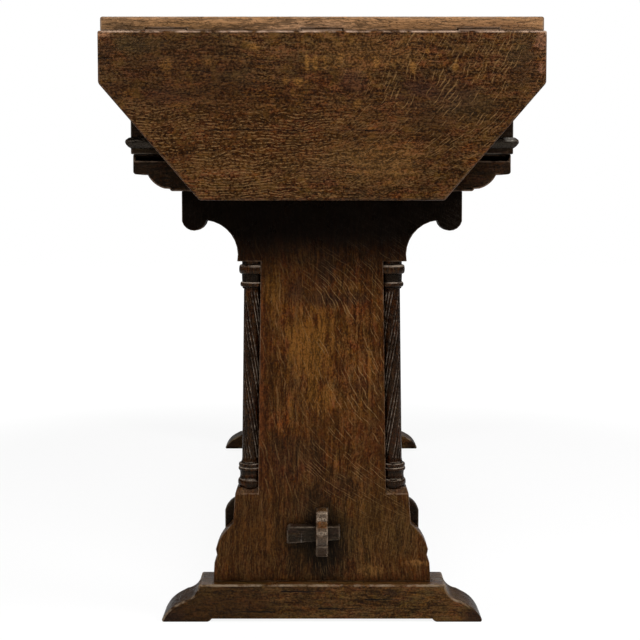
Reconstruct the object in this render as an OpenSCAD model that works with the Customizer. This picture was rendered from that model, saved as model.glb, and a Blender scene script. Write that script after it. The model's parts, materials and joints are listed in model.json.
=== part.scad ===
// Long narrow oak side table on two keyed trestles, with a hinged leaf at each end.
// Millimetres. Z is up, Y runs along the table, X across it. The near end is at -Y.
// The origin is on the floor, midway between the trestles.

/* [Overall] */
// Height of the top above the floor
table_h = 760; // [730:1:800]
// Width across the top and the leaves
top_w = 535; // [525:1:600]
// Length of the fixed top over its end clamps
top_l = 1250; // [1100:1:1500]
// Thickness of the top boards, the end clamps and the leaves
top_t = 18; // [17:0.5:22]
// Distance from the end of the top to the outer face of a foot and a bearer
end_overhang = 51; // [48:1:70]

/* [Top] */
// Width of an end clamp
clamp_w = 70; // [60:1:95]
// Number of boards across the top
board_count = 3; // [3]
// Thickness of the tongue on the end of each board
tongue_t = 6; // [5:0.5:7]
// Length of the tongue
tongue_l = 12; // [8:1:16]
// Distance from the side of the top to the end of the clamp's groove
groove_stop = 16; // [10:1:25]

/* [Leaves] */
// Length of a leaf, from its hinge edge to its free edge
leaf_l = 202; // [195:1:215]
// Straight part of a leaf's side before the corner is cut off
leaf_side = 62; // [50:1:75]
// Width left on the free edge between the cut corners
leaf_foot_w = 294; // [280:1:320]
// Gap between a leaf and the end of the top
leaf_gap = 1; // [0.8:0.1:1.6]

/* [Frieze] */
// How far the top stands out past each side of the frieze
side_overhang = 29.5; // [20:0.5:32]
// Depth of the frieze from its lower edge to the underside of the top
frieze_h = 146; // [140:1:155]
// Thickness of a side rail
side_rail_t = 22; // [18:1:24]
// Thickness of an end rail and of a cross rail
end_rail_t = 20; // [18:1:24]
// How far the frieze stands out past the end face of a bearer
frieze_proud = 8; // [5:1:11]
// Height of the bead's lower edge above the lower edge of the frieze
bead_z = 7; // [6:0.5:10]
// Height of the bead
bead_h = 14; // [11:0.5:16]
// How far the bead stands out from the frieze
bead_out = 6; // [4:0.5:7]
// Slope worn on the lower edge of the left side rail
rail_wear = 6; // [3:0.5:7]
// Depth of a cross rail
cross_rail_h = 90; // [70:1:110]
// Distance from the middle of the table to a cross rail
cross_rail_y = 190; // [150:5:240]

/* [Trestles] */
// Height of a foot
foot_h = 48; // [44:1:54]
// Length of a foot, across the table
foot_w = 410; // [390:1:450]
// Thickness of a foot and of a bearer, along the table
foot_t = 58; // [56:1:64]
// Length of the pad under each end of a foot
foot_pad = 60; // [50:1:70]
// Height of the relief between the two pads
foot_relief = 4; // [2:0.5:6]
// Ledge of a foot in front of the upright
foot_ledge = 15; // [13:0.5:16]
// Height of a bearer
bearer_h = 46; // [42:1:50]
// How far each end of a bearer stops short of the frieze's side
bearer_short = 1.5; // [0:0.5:4]
// Height of the rebate along the top of a bearer's outer face
rebate_h = 8; // [4:0.5:10]
// Depth of that rebate
rebate_d = 10; // [5:0.5:14]
// Thickness of an upright board
upright_t = 28; // [28:0.5:29]
// Width of an upright at its head
head_w = 355; // [345:1:370]
// Depth of the head from the bearer down to the columns
head_h = 89; // [84:1:96]
// Height of the plinth's top above the foot
plinth_h = 122; // [118:1:130]
// Width of the plinth
plinth_w = 223; // [221:1:228]
// Width of an upright where it stands on the foot
base_w = 280; // [276:1:296]
// Depth of an upright's tenons
tenon_h = 30; // [22:1:34]
// Thickness of the cleat behind the foot of each upright
cleat_t = 12; // [9:0.5:12]
// Width of the cleat
cleat_w = 253; // [245:1:262]
// Height of the cleat above the foot
cleat_h = 104; // [102:1:112]

/* [Columns] */
// Width of the panel between the columns, at the top
panel_w = 155.6; // [150:0.1:158]
// Lean of a column and of the panel's edge, in degrees
column_lean = 0.8; // [0:0.1:1]
// Radius of the shaft
shaft_r = 11; // [10.8:0.1:11.6]
// Radius of the widest ring
ring_r = 17.5; // [17:0.1:18]
// Distance from a column's axis to its flat seat on the panel's edge
column_seat = 10.7; // [10:0.1:10.7]
// Radius of the pin turned on each end of a column
spigot_r = 5; // [4:0.5:6]
// Length of that pin
spigot_l = 10; // [6:1:14]

/* [Stretcher] */
// Thickness of the stretcher
stretcher_t = 28; // [22:1:36]
// Height of the stretcher
stretcher_h = 84; // [76:1:90]
// Height of the stretcher's middle above the foot
stretcher_z = 66; // [62:1:70]
// Thickness of the through tenon
nose_t = 15; // [12:0.5:18]
// Height of the through tenon
nose_h = 60; // [54:1:64]
// How far the tenon's nose stands out from the upright
nose_l = 43; // [38:1:46]
// Height of the key at its thick end
key_h = 22; // [18:1:24]
// Thickness of the key at the middle of the tenon
key_t = 16; // [13:0.5:18]
// Length of the key
key_l = 68; // [60:1:80]

/* [Ironwork] */
// Width of a leaf hinge
hinge_w = 48; // [44:1:60]
// Length of a hinge flap from the pin
flap_l = 38; // [32:1:44]
// Thickness of a hinge flap
flap_t = 2; // [1.9:0.1:2.4]
// Radius of a hinge's barrel
barrel_r = 3.4; // [3.2:0.1:4]
// Radius of a hinge's pin
hinge_pin_r = 1.6; // [1.4:0.1:1.8]
// Distance from the middle of the leaf to an outer hinge
hinge_x = 188; // [176:1:205]
// Distance from the middle of the leaf to a stay
stay_x = 125; // [90:1:135]
// Length of a stay from its pin to its round tip
stay_l = 112; // [106:1:116]
// Depth of the stay's pin below the underside of the top
stay_drop = 76; // [72:1:80]
// Distance from the frieze to the stay's pin
stay_out = 19; // [18:0.5:21]
// Thickness of a stay
stay_t = 5; // [4:0.5:6]
// Width of a stay
stay_w = 16; // [14:0.5:18]
// Radius of the stay's pin
stay_pin_r = 3; // [2.5:0.1:3.5]
// Radius of the round tip of a stay
tip_r = 5; // [4:0.5:6]

/* [Fits] */
// Clearance round a fixed joint or a fastener
joint_fit = 0.1; // [0.05:0.01:0.15]
// Radial clearance of a pin that turns
running_fit = 0.05; // [0.03:0.01:0.1]
// Clearance beside a part that moves
side_fit = 0.4; // [0.3:0.05:0.6]

/* [Hidden] */
$fn = 48;

// Heights above the floor
underside_z = table_h - top_t;
frieze_z = underside_z - frieze_h;
head_z = frieze_z - bearer_h;
soffit_z = head_z - head_h;
plinth_z = foot_h + plinth_h;
column_l = soffit_z - plinth_z;
nose_z = foot_h + stretcher_z;

// Places along the table, at the near end
end_y = -top_l / 2;
foot_y = end_y + end_overhang;
upright_y = foot_y + foot_ledge;
cleat_y = upright_y + upright_t;
shoulder_y = cleat_y + cleat_t;
frieze_y = foot_y - frieze_proud;
frieze_w = top_w - 2 * side_overhang;
side_x = frieze_w / 2;
bearer_w = frieze_w - 2 * bearer_short;

// The leaf hinge: the pin lies in the joint line, at the underside of the top
pin_y = end_y - leaf_gap / 2;
pin_z = underside_z - 0.75;
leaf_face_y = pin_y - (underside_z - pin_z);
leaf_top_z = pin_z - leaf_gap / 2;
leaf_bottom_z = leaf_top_z - leaf_l;
flap_start = 1;
groove_r = barrel_r + side_fit;
knuckle_l = hinge_w / 3;

// The stay's pin, its tip and the plate that the tip meets under the raised leaf
stay_y = frieze_y - stay_out;
stay_z = underside_z - stay_drop;
strike_t = 2;
strike_w = 32;
strike_l = 40;
tip_w = 24;
tip_rise = stay_drop - strike_t - tip_r - side_fit;
tip_reach = sqrt(stay_l * stay_l - tip_rise * tip_rise);
strike_z = pin_z - (tip_reach + pin_y - stay_y);
lug_w = 34;
lug_h = 44;
lug_t = 3;
ear_t = 4;
ear_r = 9;
rivet_head = 2;

// Outline values of the joinery
flare = tan(column_lean);
panel_top_x = panel_w / 2;
panel_foot_x = panel_top_x + column_l * flare;
column_x = panel_top_x + column_seat / cos(column_lean);
column_y = upright_y + upright_t / 2;
soffit_x = column_x + ring_r + 1.7;
small_ring_r = ring_r - 1.9;
neck_r = ring_r - 3.8;
column_spare = 1;
ledge_h = 8;
ledge_d = 5;
ledge_back = 2.7;
tenon_t = upright_t - 8;
tenon_in = 30;
dovetail_count = 3;
dovetail_flare = 4;
dovetail_lap = 5;
rebate_stop = 3;
stub_l = 8;
screw_d = 3.5;
screw_head_d = 7;
flap_screw_l = 13;
peg_r = 4.5;
peg_x = 62;
bearer_screw_r = 3;
bearer_screw_head_r = 6;
bearer_screw_l = 66;
bearer_screw_head_h = 4;
bearer_screw_sink = 5;
bearer_ledge_z = head_z + bearer_h * 0.445;
cleat_screw_x = 100;
cleat_screw_z = 32;
cleat_screw_l = cleat_t + 14;
key_taper = 0.05;
key_rise = 0.055;
key_head = 0.66;
block_l = 60;
block_w = 22;

OAK = "saddlebrown";
DARK_OAK = "sienna";
IRON = "dimgray";

// Centre of the circle through three points
function circle_centre(a, b, c) =
    let (
        d = 2 * (a.x * (b.y - c.y) + b.x * (c.y - a.y) + c.x * (a.y - b.y)),
        aa = a * a,
        bb = b * b,
        cc = c * c
    )
    [
        (aa * (b.y - c.y) + bb * (c.y - a.y) + cc * (a.y - b.y)) / d,
        (aa * (c.x - b.x) + bb * (a.x - c.x) + cc * (b.x - a.x)) / d
    ];

// Points along the arc from a to c that passes through b
function arc3(a, b, c, steps = 8) =
    let (
        m = circle_centre(a, b, c),
        r = norm(a - m),
        from = atan2(a.y - m.y, a.x - m.x),
        to = atan2(c.y - m.y, c.x - m.x),
        left = cross(b - a, c - b) > 0,
        sweep = left ? (to - from + 720) % 360 : -((from - to + 720) % 360)
    )
    [for (i = [0 : steps]) m + r * [cos(from + sweep * i / steps), sin(from + sweep * i / steps)]];

// Closes a half outline, given from top to bottom on the right, with its mirror image
function both_sides(p) = concat(p, [for (i = [len(p) - 1 : -1 : 0]) [-p[i].x, p[i].y]]);

// Half outlines, with x from the middle of the table and y as the height above the floor
foot_half = concat(
    arc3([foot_w / 2 - 47, foot_h], [foot_w / 2 - 41, foot_h * 0.7], [foot_w / 2 - 28, foot_h * 0.56]),
    arc3([foot_w / 2 - 20, foot_h * 0.47], [foot_w / 2 - 8, foot_h * 0.29], [foot_w / 2, foot_h * 0.04]),
    [
        [foot_w / 2, 0],
        [foot_w / 2 - foot_pad, 0],
        [foot_w / 2 - foot_pad - foot_relief, foot_relief]
    ]
);

bearer_half = concat(
    [[bearer_w / 2, frieze_z]],
    arc3(
        [bearer_w / 2, head_z + bearer_h * 0.54],
        [bearer_w / 2 - 1.3, head_z + bearer_h * 0.48],
        [bearer_w / 2 - 4.5, head_z + bearer_h * 0.455],
        4
    ),
    arc3(
        [bearer_w / 2 - 18, head_z + bearer_h * 0.445],
        [bearer_w / 2 - 26, head_z + bearer_h * 0.22],
        [bearer_w / 2 - 39, head_z + bearer_h * 0.07]
    ),
    [
        [bearer_w / 2 - 45.5, head_z + bearer_h * 0.06],
        [bearer_w / 2 - 47, head_z]
    ]
);

upright_half = concat(
    [[head_w / 2, head_z]],
    arc3(
        [head_w / 2, head_z - head_h * 0.427],
        [head_w / 2 - 14, head_z - head_h * 0.562],
        [head_w / 2 - 31, head_z - head_h * 0.416]
    ),
    arc3(
        [head_w / 2 - 31.5, head_z - head_h * 0.415],
        [soffit_x + 13.5, head_z - head_h * 0.54],
        [soffit_x, soffit_z]
    ),
    [
        [panel_top_x, soffit_z],
        [panel_foot_x, plinth_z],
        [plinth_w / 2 - ledge_back, plinth_z],
        [plinth_w / 2, plinth_z - ledge_h],
        [base_w / 2 - 25.5, foot_h + plinth_h * 0.62],
        [base_w / 2 - 16.5, foot_h + plinth_h * 0.545]
    ],
    arc3(
        [base_w / 2 - 16, foot_h + plinth_h * 0.54],
        [base_w / 2 - 8.2, foot_h + plinth_h * 0.447],
        [base_w / 2 - 3.4, foot_h + plinth_h * 0.344]
    ),
    [
        [base_w / 2 - 5, foot_h + plinth_h * 0.275],
        [base_w / 2 - 1.5, foot_h + plinth_h * 0.2],
        [base_w / 2, foot_h]
    ]
);

cleat_half = concat(
    arc3(
        [cleat_w / 2 - 20, foot_h + cleat_h],
        [cleat_w / 2 - 5.5, foot_h + cleat_h - 8],
        [cleat_w / 2, foot_h + cleat_h - 18]
    ),
    [[cleat_w / 2, foot_h]]
);

leaf_half = [
    [top_w / 2, leaf_top_z],
    [top_w / 2, leaf_top_z - leaf_side],
    [leaf_foot_w / 2, leaf_bottom_z]
];

// Radius and height of a column's profile, from its lower end upwards.
// Both ends run past the shoulders, where the column is cut to the plinth and the head.
column_profile = concat(
    [[0, -column_spare], [neck_r, -column_spare], [neck_r, 0.6]],
    arc3([neck_r + 0.6, 0.8], [small_ring_r + 0.4, 5.5], [neck_r + 1, 10.2], 6),
    [[neck_r, 10.6], [neck_r - 0.5, 15.5], [neck_r, 20.6]],
    arc3([neck_r + 0.8, 21], [small_ring_r, 23.2], [neck_r + 0.9, 25.4], 4),
    arc3([neck_r + 0.7, 25.8], [small_ring_r - 0.4, 28], [neck_r + 0.3, 30.2], 4),
    [[shaft_r + 1.4, 31], [shaft_r, 37], [shaft_r, column_l - 35]],
    [[shaft_r + 1.8, column_l - 35], [shaft_r + 1.8, column_l - 33.2]],
    arc3([neck_r + 0.5, column_l - 32.8], [small_ring_r, column_l - 30], [neck_r + 0.5, column_l - 26.8], 4),
    [[neck_r - 0.3, column_l - 26.4], [neck_r + 0.2, column_l - 16.6]],
    arc3([ring_r - 1.6, column_l - 16], [ring_r, column_l - 11], [ring_r - 1.5, column_l - 5], 6),
    [[neck_r, column_l - 4.4], [neck_r, column_l + column_spare], [0, column_l + column_spare]]
);

// Side outline of the tenon's nose: x outward from the upright's face, y from the tenon's middle
nose_outline = concat(
    [[nose_l * 0.42, nose_h / 2], [nose_l * 0.47, nose_h * 0.45]],
    arc3([nose_l * 0.47, nose_h * 0.42], [nose_l * 0.54, nose_h * 0.31], [nose_l * 0.72, nose_h * 0.25], 6),
    arc3([nose_l * 0.76, nose_h * 0.24], [nose_l, nose_h * 0.05], [nose_l * 0.86, -nose_h * 0.16], 8),
    [
        [nose_l * 0.8, -nose_h * 0.17],
        [nose_l * 0.8, -nose_h * 0.2],
        [nose_l * 0.34, -nose_h / 2]
    ]
);

// Profile of the bead: x outward from the frieze, y above its lower edge
bead_profile = concat(
    [[0, 0]],
    [[bead_out * 0.55, bead_h * 0.18]],
    arc3([bead_out * 0.85, bead_h * 0.35], [bead_out, bead_h * 0.55], [bead_out * 0.8, bead_h * 0.8], 5),
    [[bead_out * 0.3, bead_h * 0.97], [0, bead_h]]
);

// Draws its children at the far end, as the mirror image of the near end
module far_end() {
    mirror([0, 1, 0]) children();
}

// Draws its children at both ends
module both_ends() {
    children();
    far_end() children();
}

// Extrudes an outline drawn in X and Z along the table, from y to y + depth
module across(y, depth) {
    translate([0, y + depth, 0]) rotate([90, 0, 0]) linear_extrude(depth) children();
}

// A box given by its lowest and highest corners
module block(low, high) {
    translate(low) cube(high - low);
}

// A cylinder along X, centred on the origin
module cross_bar(r, length) {
    rotate([0, 90, 0]) cylinder(r = r, h = length, center = true);
}

// A countersunk screw that points along -Z, with its head's face at the origin
module screw(length, grow = 0) {
    cone_h = (screw_head_d - screw_d) / 2;
    translate([0, 0, -cone_h]) {
        cylinder(r1 = screw_d / 2 + grow, r2 = screw_head_d / 2 + grow, h = cone_h);
    }
    translate([0, 0, -length - grow]) cylinder(d = screw_d + 2 * grow, h = length + grow);
}

module foot() {
    color(OAK) difference() {
        across(foot_y, foot_t) polygon(both_sides(foot_half));
        upright_tenon(foot_h - tenon_h, foot_h + 1, joint_fit);
    }
}

// One tenon of an upright, between two heights
module upright_tenon(low, high, grow = 0) {
    y = upright_y + (upright_t - tenon_t) / 2;
    x = base_w / 2 - tenon_in + grow;
    block([-x, y - grow, low - grow], [x, y + tenon_t + grow, high]);
}

// The through tenon's passage in the upright and the cleat
module nose_passage() {
    x = nose_t / 2 + joint_fit;
    z = nose_h / 2 + joint_fit;
    block([-x, upright_y - 1, nose_z - z], [x, shoulder_y + 1, nose_z + z]);
}

module upright() {
    color(OAK) difference() {
        union() {
            across(upright_y, upright_t) polygon(both_sides(upright_half));
            upright_tenon(foot_h - tenon_h, foot_h + 1);
            upright_tenon(head_z - 1, head_z + tenon_h);
        }
        nose_passage();
        for (side = [-1, 1]) {
            at_column(side) spigot_bores();
            plinth_slope(side);
            peg(side * peg_x, joint_fit);
        }
        cleat_screw_set(joint_fit);
    }
}

// Slopes on both faces of the plinth, below a column
module plinth_slope(side) {
    length = plinth_w - 2 * panel_foot_x;
    for (turn = [0, 180]) {
        translate([side * (panel_foot_x + length / 2), column_y, plinth_z]) {
            rotate([90, 0, turn + 90]) translate([-upright_t / 2, 0, 0]) {
                linear_extrude(length, center = true) {
                    polygon([[-1, 1], [ledge_d, 1], [ledge_d, 0], [0, -ledge_h], [-1, -ledge_h]]);
                }
            }
        }
    }
}

// Places a column with its lower end on the plinth, leaning with the panel's edge
module at_column(side) {
    translate([side * column_x, column_y, soffit_z]) rotate([0, -side * column_lean, 0]) {
        translate([0, 0, -column_l]) children();
    }
}

module spigot_bores() {
    depth = spigot_l + 1;
    for (z = [-depth, column_l - 1]) {
        translate([0, 0, z]) cylinder(r = spigot_r + joint_fit, h = depth + 1);
    }
}

// A column is cut flat against the panel's edge, and level at both shoulders
module column(side) {
    color(DARK_OAK) {
        intersection() {
            at_column(side) rotate_extrude() polygon(column_profile);
            across(column_y - 2 * ring_r, 4 * ring_r) polygon([
                [side * panel_top_x, soffit_z],
                [side * panel_foot_x, plinth_z],
                [side * plinth_w, plinth_z],
                [side * plinth_w, soffit_z]
            ]);
        }
        at_column(side) for (z = [-spigot_l, column_l - column_spare]) {
            translate([0, 0, z]) cylinder(r = spigot_r, h = spigot_l + column_spare);
        }
    }
}

module cleat() {
    color(OAK) difference() {
        across(cleat_y, cleat_t) polygon(both_sides(cleat_half));
        nose_passage();
        cleat_screw_set(joint_fit);
    }
}

// Screws from the inner face of the cleat into the upright
module cleat_screw_set(grow = 0) {
    for (x = [-1, 1], z = [-1, 1]) {
        translate([x * cleat_screw_x, shoulder_y, nose_z + z * cleat_screw_z]) {
            rotate([-90, 0, 0]) screw(cleat_screw_l, grow);
        }
    }
}

module cleat_screws() {
    color(IRON) cleat_screw_set();
}

module bearer() {
    color(OAK) difference() {
        across(foot_y, foot_t) polygon(both_sides(bearer_half));
        upright_tenon(head_z - 1, head_z + tenon_h + joint_fit, joint_fit);
        block(
            [-bearer_w / 2 + rebate_stop, foot_y - 1, frieze_z - rebate_h],
            [bearer_w / 2 - rebate_stop, foot_y + rebate_d, frieze_z + 1]
        );
        for (side = [-1, 1]) {
            peg(side * peg_x, joint_fit);
            bearer_screw(side, joint_fit);
        }
    }
}

// Peg through the bearer and the upright's upper tenon
module peg(x, grow = 0) {
    translate([x, foot_y - grow, head_z + bearer_h * 0.45]) rotate([-90, 0, 0]) {
        cylinder(r = peg_r + grow, h = foot_t + 2 * grow);
    }
}

module bearer_pegs() {
    color(DARK_OAK) both_ends() for (side = [-1, 1]) peg(side * peg_x);
}

// Screw up through the end of a bearer into the side rail above it
module bearer_screw(side, grow = 0) {
    translate([side * (side_x - side_rail_t / 2), foot_y + foot_t / 2, bearer_ledge_z]) {
        translate([0, 0, bearer_screw_sink - grow]) {
            cylinder(r = bearer_screw_r + grow, h = bearer_screw_l + 2 * grow);
            cylinder(r = bearer_screw_head_r + grow, h = bearer_screw_head_h + 2 * grow);
        }
        if (grow > 0) {
            translate([0, 0, -2]) cylinder(r = bearer_screw_head_r + grow, h = bearer_screw_sink + 2);
        }
    }
}

module bearer_screws() {
    color(IRON) both_ends() for (side = [-1, 1]) bearer_screw(side);
}

// Dovetails on the end of a side rail, drawn in Y and Z
module dovetails(grow = 0) {
    pitch = frieze_h / dovetail_count;
    for (i = [0 : dovetail_count - 1]) {
        z = frieze_z + pitch * (i + 0.5);
        narrow = pitch * 0.28 + grow;
        wide = narrow + dovetail_flare;
        translate([side_x - side_rail_t - grow, 0, 0]) rotate([90, 0, 90]) {
            linear_extrude(side_rail_t + 2 * grow) polygon([
                [frieze_y + dovetail_lap - grow, z - wide],
                [frieze_y + end_rail_t + grow, z - narrow],
                [frieze_y + end_rail_t + grow, z + narrow],
                [frieze_y + dovetail_lap - grow, z + wide]
            ]);
        }
    }
}

module side_rail() {
    color(OAK) difference() {
        union() {
            block([side_x - side_rail_t, frieze_y + end_rail_t, frieze_z], [side_x, -frieze_y - end_rail_t, underside_z]);
            both_ends() dovetails();
        }
        for (end = [-1, 1]) {
            cross_stub(end, joint_fit);
            mirror([0, end > 0 ? 1 : 0, 0]) bearer_screw(1, joint_fit);
        }
    }
}

module end_rail() {
    color(OAK) difference() {
        block([-side_x, frieze_y, frieze_z], [side_x, frieze_y + end_rail_t, underside_z]);
        dovetails(joint_fit);
        mirror([1, 0, 0]) dovetails(joint_fit);
        lug_screw_set(joint_fit);
    }
}

// The bead along one side of the frieze, mitred at both ends
module bead(length) {
    half = length / 2;
    intersection() {
        translate([-half - 2 * bead_out, 0, 0]) rotate([90, 0, 90]) {
            linear_extrude(length + 4 * bead_out) mirror([1, 0]) polygon(bead_profile);
        }
        translate([0, 0, -1]) linear_extrude(bead_h + 2) polygon([
            [-half, 0],
            [half, 0],
            [half + 2 * bead_out, -2 * bead_out],
            [-half - 2 * bead_out, -2 * bead_out]
        ]);
    }
}

module end_bead() {
    color(OAK) translate([0, frieze_y, frieze_z + bead_z]) bead(frieze_w);
}

module side_bead() {
    color(OAK) translate([side_x, 0, frieze_z + bead_z]) rotate([0, 0, 90]) bead(-2 * frieze_y);
}

// The stub tenon of a cross rail in the right-hand side rail
module cross_stub(end, grow = 0) {
    x = side_x - side_rail_t;
    y = end * cross_rail_y;
    z = underside_z - cross_rail_h;
    block(
        [x - 1, y - end_rail_t / 4 - grow, z + 12 - grow],
        [x + stub_l + grow, y + end_rail_t / 4 + grow, underside_z - 12 + grow]
    );
}

module cross_rail(end) {
    x = side_x - side_rail_t;
    y = end * cross_rail_y;
    color(OAK) {
        block(
            [-x, y - end_rail_t / 2, underside_z - cross_rail_h],
            [x, y + end_rail_t / 2, underside_z]
        );
        cross_stub(end);
        mirror([1, 0, 0]) cross_stub(end);
    }
}

// Rubbed blocks in the angle between the rails and the top
module glue_blocks() {
    x = side_x - side_rail_t;
    y = -frieze_y - end_rail_t;
    low = underside_z - block_w;
    color(OAK) {
        for (side = [0, 1]) mirror([side, 0, 0]) {
            for (place = [-0.85, -0.55, 0, 0.55, 0.85]) {
                translate([x - block_w, place * y - block_l / 2, low]) cube([block_w, block_l, block_w]);
            }
        }
        both_ends() for (place = [-0.45, 0.45]) {
            translate([place * x - block_l / 2, -y, low]) cube([block_l, block_w, block_w]);
        }
    }
}

// The inner edge of an end clamp, and the tongue in it
board_end_y = end_y + clamp_w;

module tongue(x0, x1, grow = 0) {
    mid = underside_z + top_t / 2;
    low = max(x0, -top_w / 2 + groove_stop) - grow;
    high = min(x1, top_w / 2 - groove_stop) + grow;
    block(
        [low, board_end_y - tongue_l - grow, mid - tongue_t / 2 - grow],
        [high, board_end_y + 1, mid + tongue_t / 2 + grow]
    );
}

module top_board(i) {
    w = top_w / board_count;
    x = -top_w / 2 + i * w;
    color(OAK) {
        block([x, board_end_y, underside_z], [x + w, -board_end_y, table_h]);
        both_ends() tongue(x, x + w);
    }
}

module clamp() {
    color(OAK) difference() {
        block([-top_w / 2, end_y, underside_z], [top_w / 2, board_end_y, table_h]);
        tongue(-top_w, top_w, joint_fit);
        at_hinges() {
            barrel_groove();
            block(
                [-hinge_w / 2 - joint_fit, end_y - 1, underside_z - 1],
                [hinge_w / 2 + joint_fit, pin_y + flap_l + joint_fit, underside_z + flap_t]
            );
        }
        flap_screw_set(joint_fit);
    }
}

module leaf() {
    color(OAK) difference() {
        across(leaf_face_y - top_t, top_t) polygon(both_sides(leaf_half));
        at_hinges() {
            barrel_groove();
            block(
                [-hinge_w / 2 - joint_fit, leaf_face_y - flap_t, pin_z - flap_l - joint_fit],
                [hinge_w / 2 + joint_fit, leaf_face_y + 1, pin_z + 1]
            );
        }
        leaf_screw_set(joint_fit);
    }
}

// Draws its children at each hinge
module at_hinges() {
    for (x = [-hinge_x, 0, hinge_x]) translate([x, 0, 0]) children();
}

// The hollow that the barrel turns in
module barrel_groove() {
    translate([0, pin_y, pin_z]) cross_bar(groove_r, hinge_w + 2 * side_fit);
}

// Barrel pieces of one flap: the two outer thirds or the middle third
module knuckles(outer, grow = 0, stretch = 0) {
    length = knuckle_l - side_fit + stretch;
    translate([0, pin_y, pin_z]) {
        if (outer) {
            for (side = [-1, 1]) translate([side * knuckle_l, 0, 0]) cross_bar(barrel_r + grow, length);
        } else {
            cross_bar(barrel_r + grow, length);
        }
    }
}

module flap(outer) {
    difference() {
        union() {
            difference() {
                children();
                knuckles(!outer, side_fit, 2 * side_fit);
            }
            knuckles(outer);
        }
        translate([0, pin_y, pin_z]) cross_bar(hinge_pin_r + running_fit, hinge_w + 2);
    }
}

module fixed_flaps() {
    color(IRON) difference() {
        at_hinges() flap(true) {
            block(
                [-hinge_w / 2 + side_fit / 2, pin_y + flap_start, underside_z],
                [hinge_w / 2 - side_fit / 2, pin_y + flap_l, underside_z + flap_t]
            );
        }
        flap_screw_set(joint_fit);
    }
}

module leaf_flaps() {
    color(IRON) difference() {
        at_hinges() flap(false) {
            block(
                [-hinge_w / 2 + side_fit / 2, leaf_face_y - flap_t, pin_z - flap_l],
                [hinge_w / 2 - side_fit / 2, leaf_face_y, pin_z - flap_start]
            );
        }
        leaf_screw_set(joint_fit);
    }
}

module hinge_pins() {
    color(IRON) at_hinges() translate([0, pin_y, pin_z]) cross_bar(hinge_pin_r, hinge_w - side_fit);
}

// Screw places on a flap: x across the hinge, y along the flap from the pin
screw_places = [for (x = [-hinge_w * 0.35, hinge_w * 0.35]) [x, flap_l * 0.5], [0, flap_l * 0.75]];

module flap_screw_set(grow = 0) {
    at_hinges() for (p = screw_places) {
        translate([p.x, pin_y + p.y, underside_z]) mirror([0, 0, 1]) screw(flap_screw_l, grow);
    }
}

module flap_screws() {
    color(IRON) flap_screw_set();
}

// Screws of the leaf's flaps and of its strike plates
module leaf_screw_set(grow = 0) {
    at_hinges() for (p = screw_places) {
        translate([p.x, leaf_face_y, pin_z - p.y]) rotate([-90, 0, 0]) screw(flap_screw_l, grow);
    }
    for (side = [-1, 1], z = [-1, 1]) {
        translate([side * stay_x, leaf_face_y + strike_t, strike_z + z * strike_l * 0.36]) {
            rotate([-90, 0, 0]) screw(flap_screw_l, grow);
        }
    }
}

module leaf_screws() {
    color(IRON) leaf_screw_set();
}

module strike_plates() {
    color(IRON) difference() {
        for (side = [-1, 1]) {
            block(
                [side * stay_x - strike_w / 2, leaf_face_y, strike_z - strike_l / 2],
                [side * stay_x + strike_w / 2, leaf_face_y + strike_t, strike_z + strike_l / 2]
            );
        }
        leaf_screw_set(joint_fit);
    }
}

// The lug of one stay: a plate on the end rail with two ears
module lug() {
    inner = stay_t / 2 + side_fit;
    difference() {
        union() {
            translate([-lug_w / 2, frieze_y - lug_t, stay_z - lug_h / 2]) cube([lug_w, lug_t, lug_h]);
            for (side = [-1, 1]) translate([side * (inner + ear_t / 2), 0, 0]) {
                translate([0, stay_y, stay_z]) cross_bar(ear_r, ear_t);
                block([-ear_t / 2, stay_y, stay_z - ear_r], [ear_t / 2, frieze_y, stay_z + ear_r]);
            }
        }
        translate([0, stay_y, stay_z]) cross_bar(stay_pin_r + running_fit, lug_w);
    }
}

module stay_lugs() {
    color(IRON) difference() {
        for (side = [-1, 1]) translate([side * stay_x, 0, 0]) lug();
        lug_screw_set(joint_fit);
    }
}

module lug_screw_set(grow = 0) {
    for (side = [-1, 1], x = [-1, 1], z = [-1, 1]) {
        translate([
            side * stay_x + x * (lug_w / 2 - screw_head_d * 0.7),
            frieze_y - lug_t,
            stay_z + z * (lug_h / 2 - screw_head_d * 0.8)
        ]) rotate([90, 0, 0]) screw(end_rail_t * 0.8, grow);
    }
}

module lug_screws() {
    color(IRON) both_ends() lug_screw_set();
}

// Rivets that the stays turn on
module stay_pins() {
    span = stay_t + 2 * side_fit + 2 * ear_t;
    color(IRON) for (side = [-1, 1]) translate([side * stay_x, stay_y, stay_z]) {
        cross_bar(stay_pin_r, span);
        for (end = [-1, 1]) {
            translate([end * (span + rivet_head) / 2, 0, 0]) cross_bar(stay_pin_r + 1.5, rivet_head);
        }
    }
}

// A stay hangs from its pin and ends in a round tip
module stay(side) {
    color(IRON) translate([side * stay_x, stay_y, stay_z]) difference() {
        union() {
            cross_bar(stay_w / 2 + 0.5, stay_t);
            block([-stay_t / 2, -stay_w / 2, -stay_l], [stay_t / 2, stay_w / 2, 0]);
            translate([0, 0, -stay_l]) cross_bar(tip_r, tip_w);
        }
        cross_bar(stay_pin_r + running_fit, stay_t + 2);
        for (face = [-1, 1]) translate([0, face * stay_w, -stay_l]) {
            rotate([face * 14, 0, 0]) cube([stay_t + 2, stay_w + 3, stay_w * 1.6], center = true);
        }
    }
}

module stretcher() {
    color(OAK) difference() {
        union() {
            block(
                [-stretcher_t / 2, shoulder_y, nose_z - stretcher_h / 2],
                [stretcher_t / 2, -shoulder_y, nose_z + stretcher_h / 2]
            );
            both_ends() nose();
        }
        both_ends() key_solid(key_fit = joint_fit, passage = true);
        for (side = [-1, 1]) {
            translate([side * stretcher_t / 2, 0, nose_z + stretcher_h / 2]) rotate([0, 45, 0]) {
                cube([stretcher_t * 0.22, -2 * shoulder_y + 2, stretcher_t * 0.22], center = true);
            }
        }
    }
}

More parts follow.
